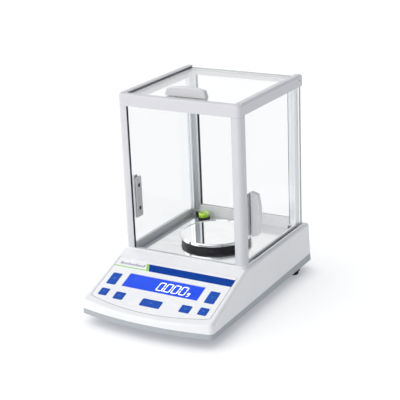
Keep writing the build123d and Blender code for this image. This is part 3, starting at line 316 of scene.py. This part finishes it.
FACE_TOLERANCE = 0.01 * MM     # a pane's big faces lie this near its box
FLAT_COSINE = 0.99


def thinnest_axis(low, high):
    """The axis along which a box is thinnest."""
    return min(range(3), key=lambda axis: (high - low)[axis])


def paint_nodes():
    """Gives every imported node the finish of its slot, and panes a second one on their edges."""
    for row in frame["record"]["subparts"]:
        mesh = NODES[row["node"]].data
        mesh.materials.clear()
        mesh.materials.append(FINISHES[row["material_slot"]].material)
        if row["material_slot"] != "clear_glass":
            continue
        mesh.materials.append(GLASS_EDGE.material)
        low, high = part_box(row["node"])
        thin = thinnest_axis(low, high)
        for face in mesh.polygons:
            depth = min(abs(face.center[thin] - low[thin]), abs(face.center[thin] - high[thin]))
            flat = abs(face.normal[thin]) > FLAT_COSINE
            face.material_index = 0 if depth < FACE_TOLERANCE and flat else 1


# ---- mesh building ----
SHARP_ANGLE = radians(35)
MITRE_LIMIT = 0.4              # least cosine that a ribbon's corner is widened by
DISC_STEPS = 28


def new_piece(name, mesh_builder, body, finish, smooth=False):
    """Makes a piece from a bmesh, on a body, with a finish."""
    mesh = bpy.data.meshes.new(name)
    bmesh.ops.recalc_face_normals(mesh_builder, faces=mesh_builder.faces[:])
    mesh_builder.to_mesh(mesh)
    mesh_builder.free()
    mesh.materials.append(finish.material)
    if smooth:
        mesh.shade_smooth()
        mesh.set_sharp_from_angle(angle=SHARP_ANGLE)
    obj = bpy.data.objects.new(name, mesh)
    bpy.context.scene.collection.objects.link(obj)
    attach(obj, body)
    return obj


def inlay(builder, outline, place, low, high):
    """Adds a flat prism with that outline, from low to high."""
    bottom = [builder.verts.new(place(x, s, low)) for x, s in outline]
    top = [builder.verts.new(place(x, s, high)) for x, s in outline]
    builder.faces.new(bottom[::-1])
    builder.faces.new(top)
    for i in range(len(outline)):
        j = (i + 1) % len(outline)
        builder.faces.new((bottom[i], bottom[j], top[j], top[i]))


def ribbon(builder, points, width, place, low, high, closed=False):
    """Adds a flat line of that width along points, mitred at its corners."""
    count = len(points)
    rows = []
    for i, (x, s) in enumerate(points):
        before = points[i - 1] if closed or i > 0 else points[i]
        after = points[(i + 1) % count] if closed or i < count - 1 else points[i]
        ahead = Vector((after[0] - x, after[1] - s))
        behind = Vector((x - before[0], s - before[1]))
        ahead = ahead if ahead.length else behind
        behind = behind if behind.length else ahead
        ahead.normalize()
        behind.normalize()
        along = (ahead + behind).normalized()
        across = Vector((-along.y, along.x)) * (width / 2 / max(MITRE_LIMIT, along.dot(ahead)))
        rows.append([builder.verts.new(place(x + side * across.x, s + side * across.y, level))
                     for side, level in ((-1, low), (-1, high), (1, high), (1, low))])
    for i in range(count if closed else count - 1):
        first, second = rows[i], rows[(i + 1) % count]
        for k in range(4):
            builder.faces.new((first[k], first[(k + 1) % 4], second[(k + 1) % 4], second[k]))
    if not closed:
        builder.faces.new(rows[0])
        builder.faces.new(rows[-1][::-1])


def circle_points(x, s, radius, count=24):
    """Points round a circle."""
    return [(x + radius * cos(2 * pi * i / count), s + radius * sin(2 * pi * i / count))
            for i in range(count)]


def lathe(builder, centre, profile, count=64):
    """Turns a profile of (radius, height) round an upright axis; a radius of 0 closes it."""
    rows = []
    for radius, height in profile:
        if radius == 0:
            rows.append([builder.verts.new((centre.x, centre.y, height))])
            continue
        rows.append([builder.verts.new((centre.x + radius * cos(2 * pi * i / count),
                                        centre.y + radius * sin(2 * pi * i / count), height))
                     for i in range(count)])
    for first, second in zip(rows, rows[1:]):
        for i in range(count):
            j = (i + 1) % count
            corners = [first[i % len(first)], first[j % len(first)],
                       second[j % len(second)], second[i % len(second)]]
            corners = list(dict.fromkeys(corners))
            if len(corners) > 2:
                builder.faces.new(corners)


def upright_disc(builder, centre, axis, radius, depth):
    """Adds a short cylinder whose axis is level, from centre outwards."""
    level = Vector((0, 0, 1))
    across = level.cross(axis)
    ring = [centre + radius * (cos(angle) * across + sin(angle) * level)
            for angle in (2 * pi * i / DISC_STEPS for i in range(DISC_STEPS))]
    near = [builder.verts.new(point) for point in ring]
    far = [builder.verts.new(point + axis * depth) for point in ring]
    builder.faces.new(near)
    builder.faces.new(far[::-1])
    for i in range(DISC_STEPS):
        j = (i + 1) % DISC_STEPS
        builder.faces.new((near[i], near[j], far[j], far[i]))


def block(builder, low, high):
    """Adds a box between two corners."""
    corners = [builder.verts.new((x, y, z)) for x in (low[0], high[0]) for y in (low[1], high[1])
               for z in (low[2], high[2])]
    for face in ((0, 1, 3, 2), (4, 6, 7, 5), (0, 4, 5, 1), (2, 3, 7, 6), (0, 2, 6, 4), (1, 5, 7, 3)):
        builder.faces.new([corners[k] for k in face])


# ---- display ----
FILM_MARK_HEIGHTS = (0.0, 0.06)              # printed graphics and the painted edge shade line, in millimetres above the film
DIGIT_LEVEL = (-0.98, -0.85)   # digits, just over the display inside its window
DIGIT_SIZE = (10.4, 17.4)
DIGIT_STROKE = 1.6
DIGIT_SLANT = 0.09
DIGIT_FOOT = -9.1
DIGIT_LEFTS = (-9.2, 3.3, 15.8, 28.3)
SEGMENT_GAP = 0.12
POINT_RADIUS = 1.05
POINT_PLACE = (1.0, 1.0)       # from the first digit's foot
GRAM_GAP = 3.2
GRAM_STROKE = 1.1
GRAM_BOWL = (1.9, 5.0, 1.75)   # centre and radius, from the sign's left foot
GRAM_HOOK = ((3.7, 6.9), (3.7, 1.2), (2.6, -0.2), (0.4, -0.1))
STABLE_MARK = (-50.0, 3.8, 1.5)
STABLE_STROKE = 0.5


def slanted(x, s):
    """Leans a display point to the right with its height."""
    return x + DIGIT_SLANT * (s - DIGIT_FOOT), s


def bar_outline(start, end, stroke):
    """Six-sided outline of a display segment between two points."""
    along = Vector((end[0] - start[0], end[1] - start[1]))
    length = along.length
    along.normalize()
    across = Vector((-along.y, along.x)) * stroke / 2
    tip = min(stroke / 2, length / 3)
    first = Vector(start) + along * SEGMENT_GAP
    last = Vector(end) - along * SEGMENT_GAP
    return [tuple(p) for p in (first, first + along * tip - across, last - along * tip - across,
                               last, last - along * tip + across, first + along * tip + across)]


def add_zero(builder, left):
    """Six segments of a nought."""
    width, height = DIGIT_SIZE
    x0, x1 = left + DIGIT_STROKE / 2, left + width - DIGIT_STROKE / 2
    s0, s1 = DIGIT_FOOT + DIGIT_STROKE / 2, DIGIT_FOOT + height - DIGIT_STROKE / 2
    middle = (s0 + s1) / 2
    for start, end in (((x0, s0), (x1, s0)), ((x0, s1), (x1, s1)), ((x0, s0), (x0, middle)),
                       ((x0, middle), (x0, s1)), ((x1, s0), (x1, middle)), ((x1, middle), (x1, s1))):
        outline = [slanted(*point) for point in bar_outline(start, end, DIGIT_STROKE)]
        inlay(builder, outline, on_panel, *DIGIT_LEVEL)


def make_display_digits():
    """The reading, its decimal point, the gram sign and the stability mark."""
    builder = bmesh.new()
    for left in DIGIT_LEFTS:
        add_zero(builder, left)
    point = slanted(DIGIT_LEFTS[0] + DIGIT_SIZE[0] + POINT_PLACE[0], DIGIT_FOOT + POINT_PLACE[1])
    inlay(builder, circle_points(*point, POINT_RADIUS), on_panel, *DIGIT_LEVEL)
    gram_left = DIGIT_LEFTS[-1] + DIGIT_SIZE[0] + GRAM_GAP
    bowl = circle_points(gram_left + GRAM_BOWL[0], DIGIT_FOOT + GRAM_BOWL[1], GRAM_BOWL[2])
    ribbon(builder, [slanted(*p) for p in bowl], GRAM_STROKE, on_panel, *DIGIT_LEVEL, closed=True)
    hook = [slanted(gram_left + x, DIGIT_FOOT + s) for x, s in GRAM_HOOK]
    ribbon(builder, hook, GRAM_STROKE, on_panel, *DIGIT_LEVEL)
    new_piece("display_digits", builder, "base", DIGIT_LIGHT)
    mark = bmesh.new()
    ribbon(mark, circle_points(*STABLE_MARK), STABLE_STROKE, on_panel, *DIGIT_LEVEL, closed=True)
    new_piece("display_mark", mark, "base", PALE_INK)


# ---- printed graphics on the overlay, and a painted shade line round its edge ----
STRIPE_S = (23.9, 38.4)
STRIPE_RIGHT = 99.2
STRIPE_LEFT_FOOT = -38.0
STRIPE_LEAN = -7.5
LIME_WIDTH = 4.2
LIME_GAP = 0.4
LIME_LINE_S = (23.9, 25.7)
LIME_LINE_GAPS = (0.05, 0.6)   # between the line's slanted end and the block, low and high
BORDER_INSET = 0.3
BORDER_WIDTH = 0.45
BORDER_STEPS = 48
BORDER_SHARE = 0.985           # of the front edge's arc that the border follows
BORDER_RUN = 1.0               # straight run past each front corner
CORNER_TOLERANCE = 0.05
TICK_COUNT = 13
TICK_LEFT = -91.0
TICK_PITCH = 3.3
TICK_WIDTH = 1.5
TICK_FOOT = 29.6
TICK_HEIGHTS = (5.5, 3.6)
TALL_TICK_STEP = 4


def overlay_half_width():
    """Half the overlay's width, in millimetres."""
    low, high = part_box("control_overlay")
    return (high.x - low.x) / 2 / MM


def make_panel_graphics():
    """Blue stripe, lime block and line, and a plain scale of ticks."""
    half = overlay_half_width()
    low_s, high_s = STRIPE_S
    stripe = bmesh.new()
    inlay(stripe, [(STRIPE_LEFT_FOOT, low_s), (STRIPE_RIGHT, low_s), (STRIPE_RIGHT, high_s),
                   (STRIPE_LEFT_FOOT + STRIPE_LEAN, high_s)], on_panel, *FILM_MARK_HEIGHTS)
    new_piece("panel_stripe", stripe, "base", STRIPE_BLUE)
    lime = bmesh.new()
    foot, head = STRIPE_LEFT_FOOT - LIME_GAP, STRIPE_LEFT_FOOT + STRIPE_LEAN - LIME_GAP
    inlay(lime, [(foot - LIME_WIDTH, low_s), (foot, low_s), (head, high_s), (head - LIME_WIDTH, high_s)],
          on_panel, *FILM_MARK_HEIGHTS)
    line_left = -half + BORDER_INSET
    inlay(lime, [(line_left, LIME_LINE_S[0]), (foot - LIME_WIDTH - LIME_LINE_GAPS[0], LIME_LINE_S[0]),
                 (foot - LIME_WIDTH - LIME_LINE_GAPS[1], LIME_LINE_S[1]), (line_left, LIME_LINE_S[1])],
          on_panel, *FILM_MARK_HEIGHTS)
    new_piece("panel_lime_mark", lime, "base", LIME_INK)
    ticks = bmesh.new()
    for i in range(TICK_COUNT):
        x = TICK_LEFT + TICK_PITCH * i
        tall = TICK_HEIGHTS[0] if i % TALL_TICK_STEP == 0 else TICK_HEIGHTS[1]
        inlay(ticks, [(x, TICK_FOOT), (x + TICK_WIDTH, TICK_FOOT), (x + TICK_WIDTH, TICK_FOOT + tall),
                      (x, TICK_FOOT + tall)], on_panel, *FILM_MARK_HEIGHTS)
    new_piece("panel_scale_ticks", ticks, "base", NAVY_INK)


def make_overlay_edge_shade():
    """Thin grey line just inside the overlay's front and side edges: painted shade of the gap round the overlay.
    """
    half = overlay_half_width()
    rows = sorted(((v.co - PANEL_ORIGIN) / MM for v in NODES["control_overlay"].data.vertices),
                  key=lambda p: p.dot(PANEL_UP))
    front = rows[0].dot(PANEL_UP)
    rear = rows[-1].dot(PANEL_UP)
    corner = min(p.dot(PANEL_UP) for p in rows if abs(abs(p.x) - half) < CORNER_TOLERANCE)
    sagitta = corner - front
    radius = (half * half + sagitta * sagitta) / (2 * sagitta)
    sweep = atan2(half, radius - sagitta)
    side = half - BORDER_INSET
    arc_radius = radius - BORDER_INSET
    points = [(-side, rear - BORDER_INSET), (-side, corner + BORDER_RUN)]
    for i in range(BORDER_STEPS + 1):
        angle = sweep * (-BORDER_SHARE + 2 * BORDER_SHARE * i / BORDER_STEPS)
        points.append((arc_radius * sin(angle), front + radius - arc_radius * cos(angle)))
    points += [(side, corner + BORDER_RUN), (side, rear - BORDER_INSET)]
    border = bmesh.new()
    ribbon(border, points, BORDER_WIDTH, on_panel, *FILM_MARK_HEIGHTS)
    new_piece("panel_edge_shade_line", border, "base", GREY_SHADE)


# ---- signs on the keys: strokes about the key's middle, in millimetres, each open or closed ----
KEY_INK_DEPTH = 0.05
KEY_INK_SINK = 0.02
KEY_STROKE = 0.5
KEY_RING_STEPS = 20
KEY_SIGNS = {
    "left_tall_key": [(circle_points(0, 0, 1.3, KEY_RING_STEPS), True), ([(0, 0.3), (0, 2.2)], False)],
    "right_tall_key": [([(-2.0, 0), (2.0, 0)], False), ([(0, -1.2), (0, 1.2)], False)],
    "left_outer_key": [([(-2.0, -0.8), (0, 0.9), (2.0, -0.8)], False)],
    "right_outer_key": [([(-2.0, 0.8), (0, -0.9), (2.0, 0.8)], False)],
    "left_inner_key": [([(-2.2, s), (2.2, s)], False) for s in (-0.8, 0.8)],
    "right_inner_key": [([(x, -1.2), (x, 1.2)], False) for x in (-1.4, 0.0, 1.4)],
    "centre_key": [([(-4.6, 0), (-1.8, 0)], False), (circle_points(0, 0, 1.1, KEY_RING_STEPS), True),
                   ([(1.8, 0), (4.6, 0)], False)],
}


def make_key_marks():
    """A pale sign on each key, riding on it."""
    for node in [n for n in NODES if n.endswith("_key")]:
        x, s = panel_place(node)
        top = (reach_of(node, PANEL_NORMAL) - PANEL_LEVEL) / MM
        builder = bmesh.new()
        for points, closed in KEY_SIGNS[node]:
            moved = [(x + px, s + ps) for px, ps in points]
            ribbon(builder, moved, KEY_STROKE, on_panel, top - KEY_INK_SINK, top + KEY_INK_DEPTH, closed)
        new_piece(node + "_mark", builder, node, PALE_INK)


# ---- bubble level ----
DISH_DEPTH = 1.6 * MM
CUP_WALL = 0.8 * MM            # width of the cup's rounded rim, and how far down its rounding goes
CUP_EDGE = 0.3 * MM            # small rounding of the cup's edges
CUP_SHOULDER = 0.25 * MM
LIP_DROP = 0.1 * MM
DISH_WALLS = (2.0 * MM, 2.4 * MM)  # thickness of the cup round the dish, above and at its bottom
DOME_STEPS = 10
BUBBLE_STEPS = 12
WINDOW_GAP = 1.75 * MM         # from the cup's outside to the window
WINDOW_FOOT = 0.9 * MM         # below the rim
WINDOW_STEP = 0.15 * MM        # straight side of the window under its dome
WINDOW_CROWN = 0.7 * MM
WINDOW_TOP = 0.05 * MM         # from the rim down to the crown
TARGET_RADII = (2.9 * MM, 3.3 * MM)
TARGET_THICKNESS = 0.08 * MM
BUBBLE_RADIUS = 2.3 * MM
BUBBLE_HALF_HEIGHT = 0.3 * MM
BUBBLE_LIFT = 0.36 * MM        # of the bubble's middle above the dish
BUBBLE_SHIFT = Vector((0.4 * MM, 0.3 * MM, 0))


def make_level():
    """Clear-bodied level: fluid cup, target ring, bubble and a domed window."""
    low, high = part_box("level_vial")
    centre = (low + high) / 2
    radius = (high.x - low.x) / 2
    rim = high.z
    dish = rim - DISH_DEPTH
    cup = bmesh.new()
    lathe(cup, centre, [(0, low.z), (radius - CUP_EDGE, low.z), (radius, low.z + CUP_EDGE),
                        (radius, rim - CUP_WALL), (radius - CUP_EDGE, rim - CUP_SHOULDER),
                        (radius - CUP_WALL, rim), (radius - 2 * CUP_WALL, rim - LIP_DROP),
                        (radius - DISH_WALLS[0], dish + CUP_EDGE), (radius - DISH_WALLS[1], dish),
                        (0, dish)])
    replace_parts(new_piece("level_cup", cup, "base", FINISHES["green_vial"], True),
                "level_vial")
    window = bmesh.new()
    inner = radius - WINDOW_GAP
    spring = rim - WINDOW_FOOT + WINDOW_STEP
    dome = [(inner * cos(a), spring + WINDOW_CROWN * sin(a))
            for a in (pi / 2 * i / DOME_STEPS for i in range(DOME_STEPS))]
    foot = rim - WINDOW_FOOT
    lathe(window, centre, [(0, foot), (inner, foot), *dome, (0, rim - WINDOW_TOP)])
    new_piece("level_window", window, "base", FINISHES["clear_window"], True)
    target = bmesh.new()
    near, far = TARGET_RADII
    top = dish + TARGET_THICKNESS
    lathe(target, centre, [(near, dish), (far, dish), (far, top), (near, top), (near, dish)])
    new_piece("level_target_ring", target, "base", FINISHES["black_plastic"])
    bubble = bmesh.new()
    middle = dish + BUBBLE_LIFT
    steps = [(BUBBLE_RADIUS * sin(a), middle - BUBBLE_HALF_HEIGHT * cos(a))
             for a in (pi * i / BUBBLE_STEPS for i in range(1, BUBBLE_STEPS))]
    ends = (middle - BUBBLE_HALF_HEIGHT, middle + BUBBLE_HALF_HEIGHT)
    lathe(bubble, centre + BUBBLE_SHIFT, [(0, ends[0]), *steps, (0, ends[1])], 40)
    new_piece("level_bubble", bubble, "base", BUBBLE, True)


# ---- small hardware ----
THREAD_RADIUS = 3.0 * MM
THREAD_PITCH = 1.0 * MM
THREAD_STEPS = 24              # steps in one turn
THREAD_WIDTH = 0.84 * MM       # of the V's foot, a little less than the pitch
THREAD_START = 7.2 * MM        # above the foot pad
THREAD_SINK = 0.1 * MM         # of the V into the stud
STUD_TOP = 0.5 * MM            # the stud's bare core shows within this of its top
STUD_LEAST_RADIUS = 1.0 * MM
CLAMP_LENGTH = 62.5 * MM
CLAMP_WIDTH = 14.0 * MM
SCREWS_APART = 20 * MM         # less than the clamp screws' spread along the clamp, more than across
GASKET_LIP = 0.2 * MM
GASKET_THICKNESS = 0.4 * MM
GASKET_GAP = 0.02 * MM         # from the glass
CAP_THICKNESS = 0.8 * MM
CAP_SIDES = (0.8 * MM, 7.6 * MM)  # from the bar's outer face
CAP_FOOT = 6.6 * MM
CAP_HEAD = 4.4 * MM
CAP_SCREW_RADIUS = 1.9 * MM
CAP_SCREW_DEPTH = 0.6 * MM
CAP_SCREW_INSET = 4.2 * MM
CAP_SCREW_RISE = 1.2 * MM
PLUG_INSET = 8.0 * MM          # from the bar's rear end
PLUG_DROP = 8.2 * MM
PLUG_RADIUS = 3.0 * MM
PLUG_DEPTH = 0.35 * MM
SOCKET_RADIUS = 1.5 * MM
SOCKET_DEPTH = 0.1 * MM


def make_threads():
    """A V thread round each levelling stud, between its wheel and the boss."""
    for side in ("left", "right"):
        wheel = side + "_foot_wheel"
        low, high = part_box(wheel)
        axis = (low + high) / 2
        radii = [(v.co.xy - axis.xy).length for v in NODES[wheel].data.vertices
                 if v.co.z > high.z - STUD_TOP]
        core = min(radius for radius in radii if radius > STUD_LEAST_RADIUS)
        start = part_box(side + "_foot_pad")[1].z + THREAD_START
        turns = int((high.z - start) / THREAD_PITCH) - 1
        builder = bmesh.new()
        rows = []
        for i in range(turns * THREAD_STEPS + 1):
            angle = 2 * pi * i / THREAD_STEPS
            height = start + THREAD_PITCH * i / THREAD_STEPS
            out = Vector((cos(angle), sin(angle), 0))
            foot = Vector((axis.x, axis.y, height)) + out * (core - THREAD_SINK)
            crest = Vector((axis.x, axis.y, height + THREAD_WIDTH / 2)) + out * THREAD_RADIUS
            head = foot + Vector((0, 0, THREAD_WIDTH))
            rows.append([builder.verts.new(point) for point in (foot, crest, head)])
        for first, second in zip(rows, rows[1:]):
            for k in range(3):
                builder.faces.new((first[k], first[(k + 1) % 3], second[(k + 1) % 3], second[k]))
        builder.faces.new(rows[0])
        builder.faces.new(rows[-1][::-1])
        new_piece(side + "_stud_thread", builder, side + "_wheel",
                  FINISHES["plated_steel"])


def make_clamp_gaskets():
    """Thin dark gasket round the inner plate of each handle, where it meets the glass."""
    for door in ("left", "right", "top"):
        glass_low, glass_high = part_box(door + "_door_glass")
        screw_low, screw_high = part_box(door + "_handle_screws")
        thin = thinnest_axis(glass_low, glass_high)
        outwards = 1 if centre_of(door + "_handle")[thin] > centre_of(door + "_door_glass")[thin] else -1
        face = glass_low[thin] if outwards > 0 else glass_high[thin]
        middle = (screw_low + screw_high) / 2
        low, high = middle.copy(), middle.copy()
        for axis in range(3):
            lengthwise = screw_high[axis] - screw_low[axis] > SCREWS_APART
            half = (CLAMP_LENGTH if lengthwise else CLAMP_WIDTH) / 2
            low[axis] -= half + GASKET_LIP
            high[axis] += half + GASKET_LIP
        low[thin], high[thin] = sorted((face - outwards * GASKET_THICKNESS,
                                        face - outwards * GASKET_GAP))
        builder = bmesh.new()
        gasket_frame(builder, low, high, thin)
        new_piece(door + "_clamp_gasket", builder, door + "_door", CLAMP_GASKET)


def gasket_frame(builder, low, high, thin):
    """Adds four strips round the outline of a flat plate."""
    first, second = [axis for axis in range(3) if axis != thin]
    for axis, other in ((first, second), (second, first)):
        for end in (0, 1):
            strip_low, strip_high = low.copy(), high.copy()
            if end:
                strip_low[axis] = high[axis] - GASKET_LIP
            else:
                strip_high[axis] = low[axis] + GASKET_LIP
            if axis == second:
                strip_low[other] += GASKET_LIP
                strip_high[other] -= GASKET_LIP
            block(builder, strip_low, strip_high)


def make_bar_ends():
    """A screwed cap on the rear end of each side bar, and the round plug in the bar's outer side."""
    back = Vector((0, 1, 0))
    for side, sign in (("left", -1), ("right", 1)):
        outwards = Vector((sign, 0, 0))
        low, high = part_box(f"top_{side}_bar")
        outer = high.x if sign > 0 else low.x
        cap = bmesh.new()
        block(cap, (outer - sign * CAP_SIDES[1], high.y, low.z + CAP_FOOT),
              (outer - sign * CAP_SIDES[0], high.y + CAP_THICKNESS, high.z - CAP_HEAD))
        new_piece(side + "_bar_cap", cap, "base", FINISHES["white_frame"])
        screw = bmesh.new()
        spot = Vector((outer - sign * CAP_SCREW_INSET, high.y + CAP_THICKNESS,
                       (low.z + high.z) / 2 + CAP_SCREW_RISE))
        upright_disc(screw, spot, back, CAP_SCREW_RADIUS, CAP_SCREW_DEPTH)
        new_piece(side + "_cap_screw", screw, "base", FINISHES["plated_steel"])
        plug = bmesh.new()
        spot = Vector((outer, high.y - PLUG_INSET, high.z - PLUG_DROP))
        upright_disc(plug, spot, outwards, PLUG_RADIUS, PLUG_DEPTH)
        new_piece(side + "_bar_plug", plug, "base", FINISHES["white_grip"])
        # grey disc standing in for the socket's hollow: painted shade
        socket = bmesh.new()
        upright_disc(socket, spot + outwards * PLUG_DEPTH, outwards, SOCKET_RADIUS, SOCKET_DEPTH)
        new_piece(side + "_plug_socket_shade", socket, "base", GREY_SHADE)


# ---- camera, floor and light ----
CAMERA_PLACE = (0.83128, -1.3959, 0.7147)
CAMERA_TURN = (30.64, 19.05, -2.35)  # yaw, pitch and roll, in degrees
CAMERA_LENS = 104.27           # millimetres, on a sensor as wide as the next value
CAMERA_SENSOR = 36.0
CAMERA_REACH = 60.0
FLOOR_HALF = 14.0
FLOOR_COLOUR = (0.44, 0.44, 0.45)
FLOOR_GLOW = 0.64
CONTACT_SHADOW_COLOUR = (0.42, 0.43, 0.46)  # painted contact shadow: colour of the glow right under the object
CONTACT_REACH = 0.032
CONTACT_SPAN = (0.25, 0.95)    # openness of the floor from fully shaded to bare
CONTACT_SAMPLES = 24
KEY_LIGHT_FROM = (-0.56, -0.60, 0.76)
KEY_LIGHT_ENERGY = 1.9
KEY_LIGHT_SPREAD = radians(95)
KEY_LIGHT_COLOUR = (1.0, 0.985, 0.965)
ROOM_LEAN = 0.55               # how far the room's dark side leans to the operator's right
ROOM_BRIGHT = (0.22, (1.0, 1.0, 1.0))
ROOM_DARK = (0.80, (0.30, 0.315, 0.345))
ROOM_STRENGTH = 1.1


def aim_camera():
    """Long lens, a little above the chamber and to the operator's right."""
    yaw, pitch, roll = (radians(turn) for turn in CAMERA_TURN)
    back = Vector((sin(yaw) * cos(pitch), -cos(yaw) * cos(pitch), sin(pitch)))
    level_right = Vector((cos(yaw), sin(yaw), 0))
    level_up = back.cross(level_right)
    right = cos(roll) * level_right + sin(roll) * level_up
    up = -sin(roll) * level_right + cos(roll) * level_up
    lens = bpy.data.cameras.new("camera")
    lens.lens = CAMERA_LENS
    lens.sensor_width = CAMERA_SENSOR
    lens.clip_end = CAMERA_REACH
    camera = bpy.data.objects.new("camera", lens)
    bpy.context.scene.collection.objects.link(camera)
    turn = Matrix((right, up, back)).transposed().to_4x4()
    camera.matrix_world = Matrix.Translation(CAMERA_PLACE) @ turn
    bpy.context.scene.camera = camera


def make_floor():
    """Wide pale floor under the feet, whose glow is darkened by a painted contact shadow where the object stands
    on it.
    """
    builder = bmesh.new()
    corners = [builder.verts.new((x * FLOOR_HALF, y * FLOOR_HALF, 0))
               for x, y in ((-1, -1), (1, -1), (1, 1), (-1, 1))]
    builder.faces.new(corners)
    mesh = bpy.data.meshes.new("studio_floor")
    builder.to_mesh(mesh)
    builder.free()
    floor = bpy.data.objects.new("studio_floor", mesh)
    bpy.context.scene.collection.objects.link(floor)
    paper = Finish("studio_paper", FLOOR_COLOUR, 0.9, Specular_IOR_Level=0.0)
    # painted contact shadow: ambient occlusion dims the floor's glow near the object
    nearness = paper.nodes.new("ShaderNodeAmbientOcclusion")
    nearness.inputs["Distance"].default_value = CONTACT_REACH
    nearness.samples = CONTACT_SAMPLES
    openness = paper.span(nearness.outputs["AO"], 0, 1, *CONTACT_SPAN)
    glow = paper.between(openness, CONTACT_SHADOW_COLOUR, (1, 1, 1))
    paper.links.new(glow, paper.shader.inputs["Emission Color"])
    paper.shader.inputs["Emission Strength"].default_value = FLOOR_GLOW
    paper.shade(paper.noise(0.8), 0.005)
    mesh.materials.append(paper.material)


def light_studio():
    """A large soft light from the left front, and a room that is brightest near the floor."""
    sun = bpy.data.lights.new("softbox", "SUN")
    sun.energy = KEY_LIGHT_ENERGY
    sun.angle = KEY_LIGHT_SPREAD
    sun.color = KEY_LIGHT_COLOUR
    lamp = bpy.data.objects.new("softbox", sun)
    lamp.rotation_mode = "QUATERNION"
    lamp.rotation_quaternion = Vector(KEY_LIGHT_FROM).to_track_quat("Z", "Y")
    bpy.context.scene.collection.objects.link(lamp)
    world = bpy.data.worlds.new("studio")
    world.use_nodes = True
    bpy.context.scene.world = world
    tree = world.node_tree
    direction = tree.nodes.new("ShaderNodeTexCoord").outputs["Generated"]
    split = tree.nodes.new("ShaderNodeSeparateXYZ")
    tree.links.new(direction, split.inputs["Vector"])
    lean = tree.nodes.new("ShaderNodeMath")
    lean.operation = "MULTIPLY_ADD"
    lean.inputs[1].default_value = ROOM_LEAN
    tree.links.new(split.outputs["X"], lean.inputs[0])
    tree.links.new(split.outputs["Z"], lean.inputs[2])
    ramp = tree.nodes.new("ShaderNodeValToRGB")
    for stop, (position, colour) in zip(ramp.color_ramp.elements, (ROOM_BRIGHT, ROOM_DARK)):
        stop.position = position
        stop.color = (*colour, 1)
    tree.links.new(lean.outputs["Value"], ramp.inputs["Fac"])
    tree.links.new(ramp.outputs["Color"], tree.nodes["Background"].inputs["Color"])
    tree.nodes["Background"].inputs["Strength"].default_value = ROOM_STRENGTH


def main():
    """Paints the frame, adds the printed and small pieces, and sets the studio round them."""
    bpy.context.scene.view_settings.view_transform = "Standard"
    aim_camera()
    paint_nodes()
    make_display_digits()
    make_panel_graphics()
    make_overlay_edge_shade()
    make_key_marks()
    make_level()
    make_threads()
    make_bar_ends()
    make_clamp_gaskets()
    make_floor()
    light_studio()


main()
